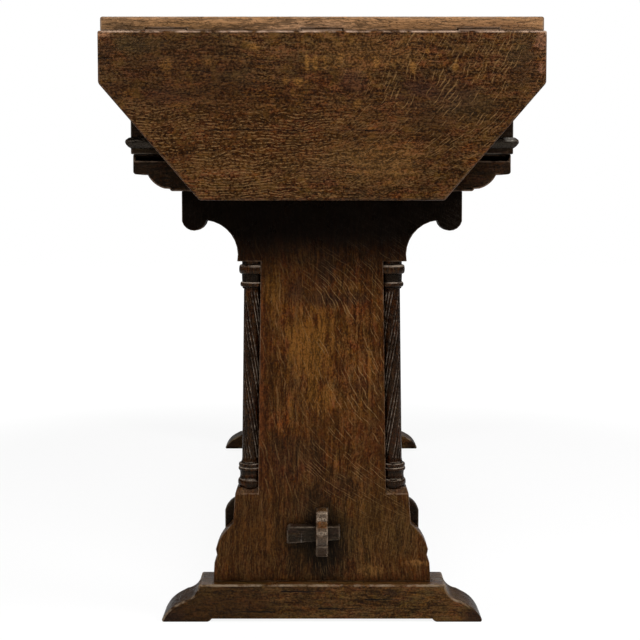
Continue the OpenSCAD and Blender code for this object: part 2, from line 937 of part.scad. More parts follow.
// The through tenon with its shaped nose
module nose() {
    z0 = nose_z - nose_h / 2;
    block([-nose_t / 2, upright_y, z0], [nose_t / 2, shoulder_y + 1, z0 + nose_h]);
    translate([0, upright_y, nose_z]) rotate([90, 0, 90]) linear_extrude(nose_t, center = true) {
        mirror([1, 0]) polygon(concat([[-1, nose_h / 2]], nose_outline, [[-1, -nose_h / 2]]));
    }
}

// The wedge through the tenon: its outer face tapers, and it is lower at its thin end
module key_solid(key_fit = 0, passage = false) {
    left = -key_l * key_head;
    right = left + key_l;
    back = passage ? 3 : -joint_fit;
    base = nose_z + 10;
    x0 = passage ? -nose_t : left;
    x1 = passage ? nose_t : right;
    intersection() {
        translate([0, 0, base - key_h - 5]) linear_extrude(key_h + 10) polygon([
            [x0, upright_y + back],
            [x1, upright_y + back],
            [x1, upright_y - joint_fit - key_t + x1 * key_taper - key_fit],
            [x0, upright_y - joint_fit - key_t + x0 * key_taper - key_fit]
        ]);
        across(upright_y - 2 * key_t, 3 * key_t) polygon([
            [x0, base - key_h + (x0 - left) * key_rise - key_fit],
            [x1, base - key_h + (x1 - left) * key_rise - key_fit],
            [x1, base + key_fit],
            [x0, base + key_fit]
        ]);
    }
}

module key() {
    color(OAK) difference() {
        key_solid();
        translate([-key_l * key_head, upright_y - key_t, nose_z + 10]) rotate([0, 45, 0]) {
            cube([4, 3 * key_t, 4], center = true);
        }
    }
}

module near_foot() foot();
module far_foot() far_end() foot();
module near_upright() upright();
module far_upright() far_end() upright();
module near_left_column() column(-1);
module near_right_column() column(1);
module far_left_column() far_end() column(-1);
module far_right_column() far_end() column(1);
module near_cleat() cleat();
module far_cleat() far_end() cleat();
module near_cleat_screws() cleat_screws();
module far_cleat_screws() far_end() cleat_screws();
module near_bearer() bearer();
module far_bearer() far_end() bearer();
module left_rail() color(OAK) difference() {
    mirror([1, 0, 0]) side_rail();
    across(frieze_y - 1, -2 * frieze_y + 2) polygon([
        [-side_x - 1, frieze_z - 1],
        [-side_x - 1, frieze_z + rail_wear],
        [-side_x, frieze_z + rail_wear],
        [-side_x + rail_wear, frieze_z],
        [-side_x + rail_wear, frieze_z - 1]
    ]);
}
module right_rail() side_rail();
module near_end_rail() end_rail();
module far_end_rail() far_end() end_rail();
module near_bead() end_bead();
module far_bead() far_end() end_bead();
module left_bead() mirror([1, 0, 0]) side_bead();
module right_bead() side_bead();
module near_cross_rail() cross_rail(-1);
module far_cross_rail() cross_rail(1);
module left_top_board() top_board(0);
module middle_top_board() top_board(1);
module right_top_board() top_board(2);
module near_clamp() clamp();
module far_clamp() far_end() clamp();
module near_key() key();
module far_key() far_end() key();
module near_leaf() leaf();
module far_leaf() far_end() leaf();
module near_fixed_flaps() fixed_flaps();
module far_fixed_flaps() far_end() fixed_flaps();
module near_leaf_flaps() leaf_flaps();
module far_leaf_flaps() far_end() leaf_flaps();
module near_hinge_pins() hinge_pins();
module far_hinge_pins() far_end() hinge_pins();
module near_flap_screws() flap_screws();
module far_flap_screws() far_end() flap_screws();
module near_leaf_screws() leaf_screws();
module far_leaf_screws() far_end() leaf_screws();
module near_stay_lugs() stay_lugs();
module far_stay_lugs() far_end() stay_lugs();
module near_stay_pins() stay_pins();
module far_stay_pins() far_end() stay_pins();
module near_left_stay() stay(-1);
module near_right_stay() stay(1);
module far_left_stay() far_end() stay(-1);
module far_right_stay() far_end() stay(1);
module near_strike_plates() strike_plates();
module far_strike_plates() far_end() strike_plates();

near_foot();
far_foot();
near_upright();
far_upright();
near_left_column();
near_right_column();
far_left_column();
far_right_column();
near_cleat();
far_cleat();
near_cleat_screws();
far_cleat_screws();
near_bearer();
far_bearer();
bearer_pegs();
bearer_screws();
left_rail();
right_rail();
near_end_rail();
far_end_rail();
near_bead();
far_bead();
left_bead();
right_bead();
near_cross_rail();
far_cross_rail();
glue_blocks();
left_top_board();
middle_top_board();
right_top_board();
near_clamp();
far_clamp();
stretcher();
near_key();
far_key();
near_leaf();
far_leaf();
near_fixed_flaps();
far_fixed_flaps();
near_leaf_flaps();
far_leaf_flaps();
near_hinge_pins();
far_hinge_pins();
near_flap_screws();
far_flap_screws();
near_leaf_screws();
far_leaf_screws();
near_stay_lugs();
far_stay_lugs();
near_stay_pins();
far_stay_pins();
near_left_stay();
near_right_stay();
far_left_stay();
far_right_stay();
near_strike_plates();
far_strike_plates();
lug_screws();
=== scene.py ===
"""Looks of a long oak side table that stands on two keyed trestles, with a leaf at each end.

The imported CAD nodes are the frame. Each wooden board is copied, its arrises are worn round and the
copy stands for the node. The turned columns are modelled here with their incised spirals. The iron
stays as it comes, with its own finish. All sizes are in metres.
"""

from __future__ import annotations

import json
import logging
import math
from collections.abc import Callable, Iterator, Sequence
from contextlib import contextmanager
from dataclasses import dataclass, replace
from enum import Enum

import bmesh
import bpy
from mathutils import Matrix, Vector

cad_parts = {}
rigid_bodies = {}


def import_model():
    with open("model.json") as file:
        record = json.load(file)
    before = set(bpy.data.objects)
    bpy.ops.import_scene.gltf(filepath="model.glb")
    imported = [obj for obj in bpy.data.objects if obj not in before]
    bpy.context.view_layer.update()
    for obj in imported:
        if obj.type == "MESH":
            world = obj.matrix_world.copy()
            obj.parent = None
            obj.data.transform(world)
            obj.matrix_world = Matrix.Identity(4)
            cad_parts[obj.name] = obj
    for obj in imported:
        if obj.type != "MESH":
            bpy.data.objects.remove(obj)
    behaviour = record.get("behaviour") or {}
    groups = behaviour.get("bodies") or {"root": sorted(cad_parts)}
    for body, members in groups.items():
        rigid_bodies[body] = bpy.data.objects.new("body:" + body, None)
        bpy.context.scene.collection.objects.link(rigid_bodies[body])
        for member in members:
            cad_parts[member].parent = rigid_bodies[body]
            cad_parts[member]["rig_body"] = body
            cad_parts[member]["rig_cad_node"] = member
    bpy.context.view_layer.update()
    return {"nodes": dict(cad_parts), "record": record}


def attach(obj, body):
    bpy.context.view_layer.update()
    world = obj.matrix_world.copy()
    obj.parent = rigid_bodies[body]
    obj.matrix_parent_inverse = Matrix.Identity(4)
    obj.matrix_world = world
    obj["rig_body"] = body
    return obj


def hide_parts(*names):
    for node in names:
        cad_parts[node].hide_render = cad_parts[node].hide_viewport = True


logging.basicConfig(level=logging.INFO, format="%(name)s: %(message)s")
log = logging.getLogger("side_table")

Colour = tuple[float, float, float]
Point = tuple[float, float, float]
Socket = bpy.types.NodeSocket

GOLDEN: Colour = (0.145, 0.064, 0.014)
OLIVE: Colour = (0.036, 0.0235, 0.0090)
PLUM: Colour = (0.038, 0.0135, 0.0075)
DUSKY: Colour = (0.020, 0.008, 0.004)
AMBER: Colour = (0.105, 0.042, 0.007)
TARRY: Colour = (0.012, 0.005, 0.003)
UMBER: Colour = (0.026, 0.0115, 0.0030)
STAINED: Colour = (0.018, 0.0080, 0.0045)
HONEY: Colour = (0.140, 0.064, 0.018)
# Colour of the painted shadow under the top and the leaf.
PAINTED_SHADOW: Colour = (0.0012, 0.0006, 0.0004)
# Colour of grime and of painted shade in corners and gaps.
GRIME_AND_SHADE: Colour = (0.0030, 0.0014, 0.0008)
HOLLOW: Colour = (0.002, 0.001, 0.001)
BARE_IRON: Colour = (0.14, 0.13, 0.12)
WAX_TINT: Colour = (1.0, 0.80, 0.60)


class Grain(Enum):
    """Which way the grain of a board runs."""

    ACROSS = "X"
    ALONG = "Y"
    UPRIGHT = "Z"


class Rays(Enum):
    """How the pale rays of quarter-sawn oak lie on a board's face."""

    NONE = "none"
    SWIRL = "swirl"
    SLANT = "slant"
    SCATTERED = "scattered"


class End(Enum):
    """The two ends of the table, with the sign of Y at each."""

    NEAR = -1
    FAR = 1

    @property
    def word(self) -> str:
        """The end's name as the CAD nodes spell it."""
        return self.name.lower()


@dataclass(frozen=True)
class Split:
    """A mark on a board's outer face: a stain, a patch of figure, a painted highlight.

    Attributes:
        mouth: Where it is widest, across the table.
        tip: Where it runs out.
        height: Its height.
        width: Its width at the mouth.
    """

    mouth: float
    tip: float
    height: float
    width: float


@dataclass(frozen=True)
class Patch:
    """A stain or a patch of figure on a board's outer face.

    Attributes:
        x: Place of its middle across the table.
        z: Height of its middle.
        wide: Half its width.
        high: Half its height.
        colour: Its colour.
        amount: How strongly it shows.
        fray: How ragged its edge is.
    """

    x: float
    z: float
    wide: float
    high: float
    colour: Colour
    amount: float = 0.5
    fray: float = 3.0


@dataclass(frozen=True)
class Oak:
    """Finish of an oak board.

    Attributes:
        name: The material's name.
        grain: Which way the grain runs.
        dark: Colour of the darkest streaks.
        mid: Colour of most of the wood.
        light: Colour of the palest streaks.
        gold: Colour of the warm blotches.
        gold_amount: How strongly the blotches show.
        gold_size: Size of the blotches, in metres.
        rays: How the rays lie.
        ray: Colour of the rays.
        ray_amount: How strongly the rays show.
        pores: How strongly the pores show.
        mottle: How strongly the hue changes from place to place.
        specks: Share of small specks among the streaks.
        end_grain: Colour of the board's ends.
        ends_face: Axis that those ends look along, if it isn't the grain's.
        patches: Stains, patches of figure and painted highlights.
        worn: Colour of rubbed arrises.
        wear: How strongly the arrises are rubbed.
        worn_from: Height below which the arrises are hardly rubbed.
        grime: How dark the corners and gaps are, as grime and painted shade.
        reach: How far from a corner the grime and painted shade spread.
        roughness: Mean roughness of the waxed surface.
        gloss: Strength of its reflections.
        relief: Depth of the grain's relief, in metres.
        soot: Heights between which a painted shadow darkens the surface upwards, and by how much.
        splits: Drying splits on its faces.
        margin: Distances from the table's middle between which the surface darkens, and by how much.
        seed: Shifts the pattern, so that no two boards match.
    """

    name: str
    grain: Grain
    dark: Colour
    mid: Colour
    light: Colour
    gold: Colour = (0.20, 0.090, 0.022)
    gold_amount: float = 0.3
    gold_size: float = 0.045
    rays: Rays = Rays.NONE
    ray: Colour = (0.175, 0.096, 0.038)
    ray_amount: float = 0.5
    pores: float = 0.42
    mottle: float = 0.8
    specks: float = 0.34
    end_grain: Colour | None = None
    ends_face: Grain | None = None
    patches: tuple[Patch, ...] = ()
    worn: Colour = (0.20, 0.130, 0.085)
    wear: float = 0.6
    worn_from: float | None = None
    grime: float = 0.7
    reach: float = 0.018
    roughness: float = 0.31
    gloss: float = 0.10
    relief: float = 0.0006
    soot: tuple[float, float, float] | None = None
    splits: tuple[Split, ...] = ()
    margin: tuple[float, float, float] | None = None
    seed: float = 0.0


@dataclass(frozen=True)
class Iron:
    """Finish of old wrought iron.

    Attributes:
        name: The material's name.
        dark: Colour of the scale.
        rust: Colour of the rusty patches.
        rust_amount: How much of the surface is rusty.
        roughness: Mean roughness.
        metal: How metallic the scale looks.
    """

    name: str
    dark: Colour = (0.030, 0.028, 0.027)
    rust: Colour = (0.085, 0.035, 0.016)
    rust_amount: float = 0.35
    roughness: float = 0.55
    metal: float = 0.85


class Graph:
    """Adds nodes to one shader tree and links them."""

    def __init__(self, tree: bpy.types.NodeTree) -> None:
        """Keeps the tree.

        Args:
            tree: A material's tree or a node group.
        """
        self.tree = tree

    def add(self, kind: str, inputs: dict | None = None, **settings: object) -> bpy.types.Node:
        """Adds a node.

        Args:
            kind: The node's type without its ShaderNode prefix.
            inputs: Values or sockets by input name or number.
            settings: The node's own properties.

        Returns:
            The new node.
        """
        node = self.tree.nodes.new("ShaderNode" + kind)
        for key, value in settings.items():
            setattr(node, key, value)
        for key, value in (inputs or {}).items():
            self.feed(node.inputs[key], value)
        return node

    def feed(self, socket: Socket, value: object) -> None:
        """Links a socket to another, or sets its value.

        Args:
            socket: The input to feed.
            value: An output socket, a number, a vector or a colour.
        """
        if isinstance(value, bpy.types.NodeSocket):
            self.tree.links.new(value, socket)
        elif socket.type == "RGBA" and len(value) == 3:
            socket.default_value = (*value, 1.0)
        else:
            socket.default_value = value

    def math(self, operation: str, a: object, b: object = 0.0, clamp: bool = False) -> Socket:
        """Does one sum on two numbers.

        Args:
            operation: The Math node's operation.
            a: First number or socket.
            b: Second number or socket.
            clamp: Whether the result is kept between 0 and 1.

        Returns:
            The result's socket.
        """
        return self.add("Math", {0: a, 1: b}, operation=operation, use_clamp=clamp).outputs[0]

    def band(self, value: object, low: float, high: float, start: float = 0.0, end: float = 1.0) -> Socket:
        """Eases a value from one level to another.

        Args:
            value: The number or socket to read.
            low: Where the change starts.
            high: Where it ends.
            start: The result below low.
            end: The result above high.

        Returns:
            The eased value's socket.
        """
        inputs = {"Value": value, "From Min": low, "From Max": high, "To Min": start, "To Max": end}
        return self.add("MapRange", inputs, interpolation_type="SMOOTHSTEP").outputs[0]

    def mix(self, share: object, a: object, b: object, mode: str = "MIX") -> Socket:
        """Mixes two colours.

        Args:
            share: How much of the second colour shows.
            a: First colour or socket.
            b: Second colour or socket.
            mode: The Mix node's blend type.

        Returns:
            The mixed colour's socket.
        """
        node = self.add("Mix", data_type="RGBA", blend_type=mode)
        self.feed(node.inputs[0], share)
        self.feed(node.inputs[6], a)
        self.feed(node.inputs[7], b)
        return node.outputs[2]

    def ramp(self, value: Socket, stops: Sequence[tuple[float, Colour]]) -> Socket:
        """Turns a number into a colour.

        Args:
            value: The number's socket.
            stops: Places from 0 to 1 with their colours.

        Returns:
            The colour's socket.
        """
        node = self.add("ValToRGB", {0: value})
        keys = node.color_ramp.elements
        while len(keys) < len(stops):
            keys.new(0.5)
        for key, (place, colour) in zip(keys, stops):
            key.position = place
            key.color = (*colour, 1.0)
        return node.outputs[0]

    def noise(
        self, vector: Socket, scale: float, detail: float = 2.0, roughness: float = 0.5, distortion: float = 0.0
    ) -> Socket:
        """Reads a noise.

        Args:
            vector: Where to read it.
            scale: Waves per unit.
            detail: Number of finer layers.
            roughness: Strength of the finer layers.
            distortion: How far the waves are bent.

        Returns:
            The noise's value, about 0.5 on average.
        """
        inputs = {"Vector": vector, "Scale": scale, "Detail": detail, "Roughness": roughness, "Distortion": distortion}
        return self.add("TexNoise", inputs).outputs[0]

    def stretch(self, vector: Socket, scale: Point, place: Point = (0, 0, 0), turn: Point = (0, 0, 0)) -> Socket:
        """Moves, turns and stretches coordinates.

        Args:
            vector: The coordinates.
            scale: Factor along each axis.
            place: Shift along each axis.
            turn: Turn about each axis, in radians.

        Returns:
            The new coordinates' socket.
        """
        inputs = {"Vector": vector, "Location": place, "Rotation": turn, "Scale": scale}
        return self.add("Mapping", inputs).outputs[0]

    def spread(self, noise: Socket, low: float, span: float) -> Socket:
        """Spreads a noise between 0 and 1 over a span that starts at low."""
        return self.add("Math", {0: noise, 1: span, 2: low}, operation="MULTIPLY_ADD").outputs[0]

    def scaled(self, colour: Colour, factor: Socket) -> Socket:
        """Makes a colour lighter or darker by a factor."""
        return self.add("VectorMath", {0: colour, "Scale": factor}, operation="SCALE").outputs[0]

    def combine(self, x: object, y: object, z: object = 0.0) -> Socket:
        """Makes coordinates of three numbers or sockets."""
        return self.add("CombineXYZ", {0: x, 1: y, 2: z}).outputs[0]


class Effect:
    """A shader node group that several materials use, built once."""

    name = "effect"
    inputs: tuple[tuple[str, str, object], ...] = ()
    outputs: tuple[tuple[str, str], ...] = ()

    @classmethod
    def tree(cls) -> bpy.types.NodeTree:
        """Returns the group, and builds it the first time."""
        made = bpy.data.node_groups.get(cls.name)
        if made:
            return made
        made = bpy.data.node_groups.new(cls.name, "ShaderNodeTree")
        for name, kind, value in cls.inputs:
            socket = made.interface.new_socket(name, in_out="INPUT", socket_type="NodeSocket" + kind)
            if value is not None:
                socket.default_value = value
        for name, kind in cls.outputs:
            made.interface.new_socket(name, in_out="OUTPUT", socket_type="NodeSocket" + kind)
        graph = Graph(made)
        given = made.nodes.new("NodeGroupInput")
        taken = made.nodes.new("NodeGroupOutput")
        for name, socket in cls.fill(graph, given.outputs).items():
            graph.feed(taken.inputs[name], socket)
        return made

    @classmethod
    def fill(cls, graph: Graph, given: bpy.types.NodeOutputs) -> dict[str, Socket]:
        """Builds the group's nodes.

        Args:
            graph: The group's graph.
            given: The group's inputs, by name.

        Returns:
            A socket for each output, by name.
        """
        raise NotImplementedError

    @classmethod
    def place(cls, graph: Graph, **values: object) -> bpy.types.NodeOutputs:
        """Adds the group to a material.

        Args:
            graph: The material's graph.
            values: Values or sockets by input name, with _ for a space.

        Returns:
            The group's outputs, by name.
        """
        node = graph.add("Group", node_tree=cls.tree())
        for name, value in values.items():
            graph.feed(node.inputs[name.replace("_", " ")], value)
        return node.outputs


class OakGrain(Effect):
    """Streaks, specks, pores, hue and relief of oak whose grain runs along X."""

    name = "Oak grain"
    inputs = (("Vector", "Vector", None), ("Specks", "Float", 0.34))
    outputs = (("Tone", "Float"), ("Pores", "Float"), ("Height", "Float"), ("Tint", "Color"))

    @classmethod
    def fill(cls, graph: Graph, given: bpy.types.NodeOutputs) -> dict[str, Socket]:
        """Builds the group's nodes, as Effect.fill says."""
        bend = graph.noise(graph.stretch(given["Vector"], (4.0, 10.0, 10.0)), 1.0, 2.0)
        curl = graph.noise(graph.stretch(given["Vector"], (32.0, 48.0, 48.0)), 1.0, 1.0)
        sway = graph.math("MULTIPLY", graph.math("SUBTRACT", bend, 0.5), 0.030)
        sway = graph.math("ADD", sway, graph.math("MULTIPLY", graph.math("SUBTRACT", curl, 0.5), 0.006))
        shift = graph.combine(0.0, sway, sway)
        bent = graph.add("VectorMath", {0: given["Vector"], 1: shift}, operation="ADD").outputs[0]
        wide = graph.noise(graph.stretch(bent, (5.0, 64.0, 64.0)), 1.0, 2.0, 0.5)
        fine = graph.noise(graph.stretch(bent, (18.0, 260.0, 260.0)), 1.0, 3.0, 0.7)
        hair = graph.noise(graph.stretch(bent, (90.0, 640.0, 640.0)), 1.0, 2.0, 0.7)
        speck = graph.noise(graph.stretch(bent, (340.0, 430.0, 430.0)), 1.0, 2.0, 0.7)
        tone = graph.math("ADD", graph.math("MULTIPLY", wide, 0.19), graph.math("MULTIPLY", fine, 0.46))
        tone = graph.math("ADD", tone, graph.math("MULTIPLY", hair, 0.35))
        specks = graph.math("MULTIPLY", graph.math("SUBTRACT", speck, tone), given["Specks"])
        tone = graph.math("ADD", tone, specks)
        dash = graph.noise(graph.stretch(bent, (240.0, 600.0, 600.0), (3.0, 5.0, 7.0)), 1.0, 1.0, 0.6)
        pores = graph.band(dash, 0.58, 0.66)
        height = graph.math("SUBTRACT", graph.math("ADD", fine, hair), graph.math("MULTIPLY", pores, 0.8))
        hue = graph.noise(graph.stretch(bent, (38.0, 80.0, 80.0), (9.0, 2.0, 4.0)), 1.0, 5.0, 0.78)
        red = graph.mix(graph.band(hue, 0.50, 0.61), (1.0, 1.0, 1.0), (1.12, 0.81, 0.86))
        tint = graph.mix(graph.band(hue, 0.50, 0.39), red, (0.76, 0.95, 0.95))
        ochre = graph.noise(graph.stretch(bent, (60.0, 150.0, 150.0), (1.0, 8.0, 3.0)), 1.0, 4.0, 0.75)
        tint = graph.mix(graph.band(ochre, 0.52, 0.62), tint, (1.28, 1.13, 0.62), "MULTIPLY")
        return {"Tone": graph.band(tone, 0.39, 0.61), "Pores": pores, "Height": height, "Tint": tint}


class RayMarks(Effect):
    """Thin pale rays that lie along Y, side by side along X, each broken into strokes."""

    name = "Ray marks"
    inputs = (
        ("Vector", "Vector", None),
        ("Density", "Float", 130.0),
        ("Length", "Float", 30.0),
        ("Level", "Float", 0.52),
        ("Thickness", "Float", 1.0),
    )
    outputs = (("Mask", "Float"),)

    @classmethod
    def fill(cls, graph: Graph, given: bpy.types.NodeOutputs) -> dict[str, Socket]:
        """Builds the group's nodes, as Effect.fill says."""
        parts = graph.add("SeparateXYZ", {0: given["Vector"]}).outputs
        sway = graph.noise(graph.stretch(given["Vector"], (30.0, 22.0, 22.0)), 1.0, 2.0)
        row = graph.math("ADD", graph.math("MULTIPLY", parts[0], given["Density"]), graph.math("MULTIPLY", sway, 1.6))
        number = graph.math("FLOOR", row)
        chance = graph.add("TexWhiteNoise", {"W": number}, noise_dimensions="1D").outputs["Value"]
        along = graph.math("MULTIPLY", parts[1], given["Length"])
        broken = graph.noise(graph.combine(graph.math("MULTIPLY", number, 3.7), along, parts[2]), 1.0, 1.0, 0.5)
        crowd = graph.noise(graph.stretch(given["Vector"], (22.0, 16.0, 16.0), (4.0, 4.0, 4.0)), 1.0, 1.0)
        broken = graph.math("ADD", broken, graph.math("MULTIPLY", graph.math("SUBTRACT", crowd, 0.5), 0.4))
        shift = graph.math("MULTIPLY", graph.math("SUBTRACT", chance, 0.5), 0.5)
        off = graph.math("ADD", graph.math("SUBTRACT", graph.math("FRACT", row), 0.5), shift)
        width = graph.math("MULTIPLY", graph.math("SUBTRACT", broken, given["Level"]), given["Thickness"])
        width = graph.math("MINIMUM", width, 0.15)
        inside = graph.math("SUBTRACT", width, graph.math("ABSOLUTE", off))
        return {"Mask": graph.band(inside, -0.03, 0.07)}


class Blotches(Effect):
    """Large uneven patches of warm and of dark tone."""

    name = "Blotches"
    inputs = (("Vector", "Vector", None), ("Size", "Float", 0.05))
    outputs = (("Warm", "Float"), ("Dull", "Float"), ("Sheen", "Float"))

    @classmethod
    def fill(cls, graph: Graph, given: bpy.types.NodeOutputs) -> dict[str, Socket]:
        """Builds the group's nodes, as Effect.fill says."""
        rate = graph.math("DIVIDE", 1.0, given["Size"])
        scaled = graph.add("VectorMath", {0: given["Vector"]}, operation="SCALE")
        graph.feed(scaled.inputs["Scale"], rate)
        warm = graph.noise(scaled.outputs[0], 1.0, 4.0, 0.6, 0.6)
        dull = graph.noise(scaled.outputs[0], 0.42, 3.0, 0.6, 0.3)
        sheen = graph.noise(scaled.outputs[0], 2.6, 2.0)
        return {"Warm": graph.band(warm, 0.52, 0.72), "Dull": graph.band(dull, 0.42, 0.66), "Sheen": sheen}


class Corners(Effect):
    """Mask of the corners and gaps, read from ambient occlusion, that grime and painted shade darken."""

    name = "Corners"
    inputs = (("Reach", "Float", 0.02),)
    outputs = (("Grime", "Float"),)

    @classmethod
    def fill(cls, graph: Graph, given: bpy.types.NodeOutputs) -> dict[str, Socket]:
        """Builds the group's nodes, as Effect.fill says."""
        near = graph.add("AmbientOcclusion", {"Distance": given["Reach"]}, samples=4)
        closed = graph.math("SUBTRACT", 1.0, near.outputs["AO"])
        return {"Grime": graph.band(closed, 0.10, 0.60)}


class RubbedEdges(Effect):
    """Mask of rubbed arrises, and on the columns of painted highlights: the arris mark that the pieces carry, broken
    up.
    """

    name = "Rubbed edges"
    inputs = (("Vector", "Vector", None),)
    outputs = (("Worn", "Float"),)

    @classmethod
    def fill(cls, graph: Graph, given: bpy.types.NodeOutputs) -> dict[str, Socket]:
        """Builds the group's nodes, as Effect.fill says."""
        arris = graph.add("Attribute", attribute_name="arris").outputs["Fac"]
        patch = graph.noise(graph.stretch(given["Vector"], (60.0, 60.0, 60.0)), 1.0, 3.0, 0.7)
        return {"Worn": graph.math("MULTIPLY", arris, graph.band(patch, 0.36, 0.60))}


class OakShader:
    """Builds the material of an oak board."""

    turns: dict[Grain, Point] = {
        Grain.ACROSS: (0.0, 0.0, 0.0),
        Grain.ALONG: (0.0, 0.0, -math.pi / 2),
        Grain.UPRIGHT: (0.0, math.pi / 2, 0.0),
    }

    def __init__(self, oak: Oak) -> None:
        """Keeps the finish.

        Args:
            oak: The finish to build.
        """
        self.oak = oak

    def material(self) -> bpy.types.Material:
        """Returns the material, and builds it the first time."""
        oak = self.oak
        made = bpy.data.materials.get(oak.name)
        if made:
            return made
        made = bpy.data.materials.new(oak.name)
        made.use_nodes = True
        graph = Graph(made.node_tree)
        shader = made.node_tree.nodes["Principled BSDF"]
        here = graph.add("TexCoord").outputs["Object"]
        grained = graph.stretch(here, (1, 1, 1), self.shift, self.turns[oak.grain])
        grain = OakGrain.place(graph, Vector=grained, Specks=oak.specks)
        blotch = Blotches.place(graph, Vector=graph.stretch(here, (1, 1, 1), self.shift), Size=oak.gold_size)
        colour = self.stained(graph, here, grained, grain["Tone"], self.wood(graph, here, grain, blotch))
        rays = self.rays(graph, here)
        if rays:
            rays = graph.math("MULTIPLY", rays, graph.band(grain["Tone"], 0.0, 0.7, 0.6, 1.0))
            colour = graph.mix(graph.math("MULTIPLY", rays, oak.ray_amount), colour, oak.ray)
        colour = self.aged(graph, here, grain["Pores"], colour)
        split = self.splits(graph, here)
        if split:
            colour = graph.mix(split, colour, HOLLOW)
        graph.feed(shader.inputs["Base Color"], colour)
        dry = graph.spread(blotch["Sheen"], oak.roughness - 0.11, 0.22)
        rough = graph.math("ADD", dry, graph.math("MULTIPLY", grain["Pores"], 0.15), clamp=True)
        graph.feed(shader.inputs["Roughness"], rough)
        graph.feed(shader.inputs["Normal"], self.relief(graph, here, grain["Height"], rays, split))
        shader.inputs["Specular IOR Level"].default_value = oak.gloss
        graph.feed(shader.inputs["Specular Tint"], WAX_TINT)
        return made

    @property
    def shift(self) -> Point:
        """The shift of the pattern, which the seed gives."""
        return (self.oak.seed * 1.7, self.oak.seed * 0.9, self.oak.seed * 2.3)

    def wood(
        self, graph: Graph, here: Socket, grain: bpy.types.NodeOutputs, blotch: bpy.types.NodeOutputs
    ) -> Socket:
        """Adds the wood's own colour: streaks, hue, blotches and darker margins.

        Args:
            graph: The material's graph.
            here: Object coordinates.
            grain: The outputs of OakGrain.
            blotch: The outputs of Blotches.

        Returns:
            The colour's socket.
        """
        oak = self.oak
        colour = graph.ramp(grain["Tone"], [(0.05, oak.dark), (0.5, oak.mid), (0.95, oak.light)])
        colour = graph.mix(oak.mottle, colour, grain["Tint"], "MULTIPLY")
        colour = graph.mix(graph.math("MULTIPLY", blotch["Warm"], oak.gold_amount), colour, oak.gold)
        colour = graph.mix(graph.math("MULTIPLY", blotch["Dull"], 0.35), colour, oak.dark)
        if oak.margin:
            middle, side, amount = oak.margin
            off = graph.math("ABSOLUTE", graph.add("SeparateXYZ", {0: here}).outputs[0])
            colour = graph.mix(graph.band(off, middle, side, 0.0, amount), colour, oak.dark)
        return colour

    def stained(self, graph: Graph, here: Socket, grained: Socket, tone: Socket, colour: Socket) -> Socket:
        """Lays the end grain and the patches over the wood, with the streaks showing through.

        Args:
            graph: The material's graph.
            here: Object coordinates.
            grained: Coordinates with X along the grain.
            tone: The streaks.
            colour: The colour so far.

        Returns:
            The new colour's socket.
        """
        oak = self.oak
        depth = graph.band(tone, 0.0, 1.0, 0.45, 1.60)
        if oak.end_grain:
            ends = graph.add("Attribute", attribute_name="end").outputs["Fac"]
            colour = graph.mix(ends, colour, graph.scaled(oak.end_grain, depth))
        if oak.patches:
            frayed = graph.noise(graph.stretch(grained, (32, 110, 110)), 1.0, 4.0, 0.7)
            ragged = graph.math("SUBTRACT", frayed, 0.5)
        for patch in oak.patches:
            mask = graph.math("MULTIPLY", self.patch(graph, here, ragged, patch), patch.amount)
            colour = graph.mix(mask, colour, graph.scaled(patch.colour, depth))
        return colour

    def aged(self, graph: Graph, here: Socket, pores: Socket, colour: Socket) -> Socket:
        """Lays pores, painted shadow, grime and painted shade, dark lines and rubbed arrises over the wood.

        Args:
            graph: The material's graph.
            here: Object coordinates.
            pores: The pores' mask.
            colour: The colour so far.

        Returns:
            The new colour's socket.
        """
        oak = self.oak
        height = graph.add("SeparateXYZ", {0: here}).outputs[2]
        pores = graph.math("MULTIPLY", pores, oak.pores)
        colour = graph.mix(pores, colour, tuple(channel * 0.3 for channel in oak.dark))
        # Painted shadow: the surface darkens upwards to near black, standing for the shade that the leaf and the top
        # cast.
        if oak.soot:
            low, high, amount = oak.soot
            colour = graph.mix(graph.band(height, low, high, 0.0, amount), colour, PAINTED_SHADOW)
        # Grime and painted shade: corners and gaps that ambient occlusion finds, the floor beneath a foot among them,
        # are darkened.
        grime = Corners.place(graph, Reach=oak.reach)["Grime"]
        colour = graph.mix(graph.math("MULTIPLY", grime, oak.grime), colour, GRIME_AND_SHADE)
        # The cut mark darkens the incised lines, and paints shade into the grooves beside the columns' rings.
        line = graph.add("Attribute", attribute_name="cut").outputs["Fac"]
        colour = graph.mix(graph.math("MULTIPLY", line, 0.9), colour, tuple(channel * 0.4 for channel in oak.dark))
        # Rubbed arrises; on the columns the same mark paints highlights on the rings' upper sides.
        worn = RubbedEdges.place(graph, Vector=here)["Worn"]
        if oak.worn_from is not None:
            worn = graph.math("MULTIPLY", worn, graph.band(height, oak.worn_from - 0.004, oak.worn_from, 0.12, 1.0))
        return graph.mix(graph.math("MULTIPLY", worn, oak.wear), colour, oak.worn)

    def relief(
        self, graph: Graph, here: Socket, height: Socket, rays: Socket | None, split: Socket | None
    ) -> Socket:
        """Adds the surface's fine relief.

        Args:
            graph: The material's graph.
            here: Object coordinates.
            height: The grain's height.
            rays: The rays' mask, which stand up a little.
            split: The splits' mask, which are deep.

        Returns:
            The normal's socket.
        """
        dents = graph.noise(graph.stretch(here, (34, 34, 34), self.shift), 1.0, 2.0)
        height = graph.math("ADD", height, graph.math("MULTIPLY", dents, 1.6))
        if rays:
            height = graph.math("ADD", height, graph.math("MULTIPLY", rays, 0.4))
        if split:
            height = graph.math("SUBTRACT", height, graph.math("MULTIPLY", split, 3.0))
        return graph.add("Bump", {"Strength": 0.7, "Distance": self.oak.relief, "Height": height}).outputs[0]

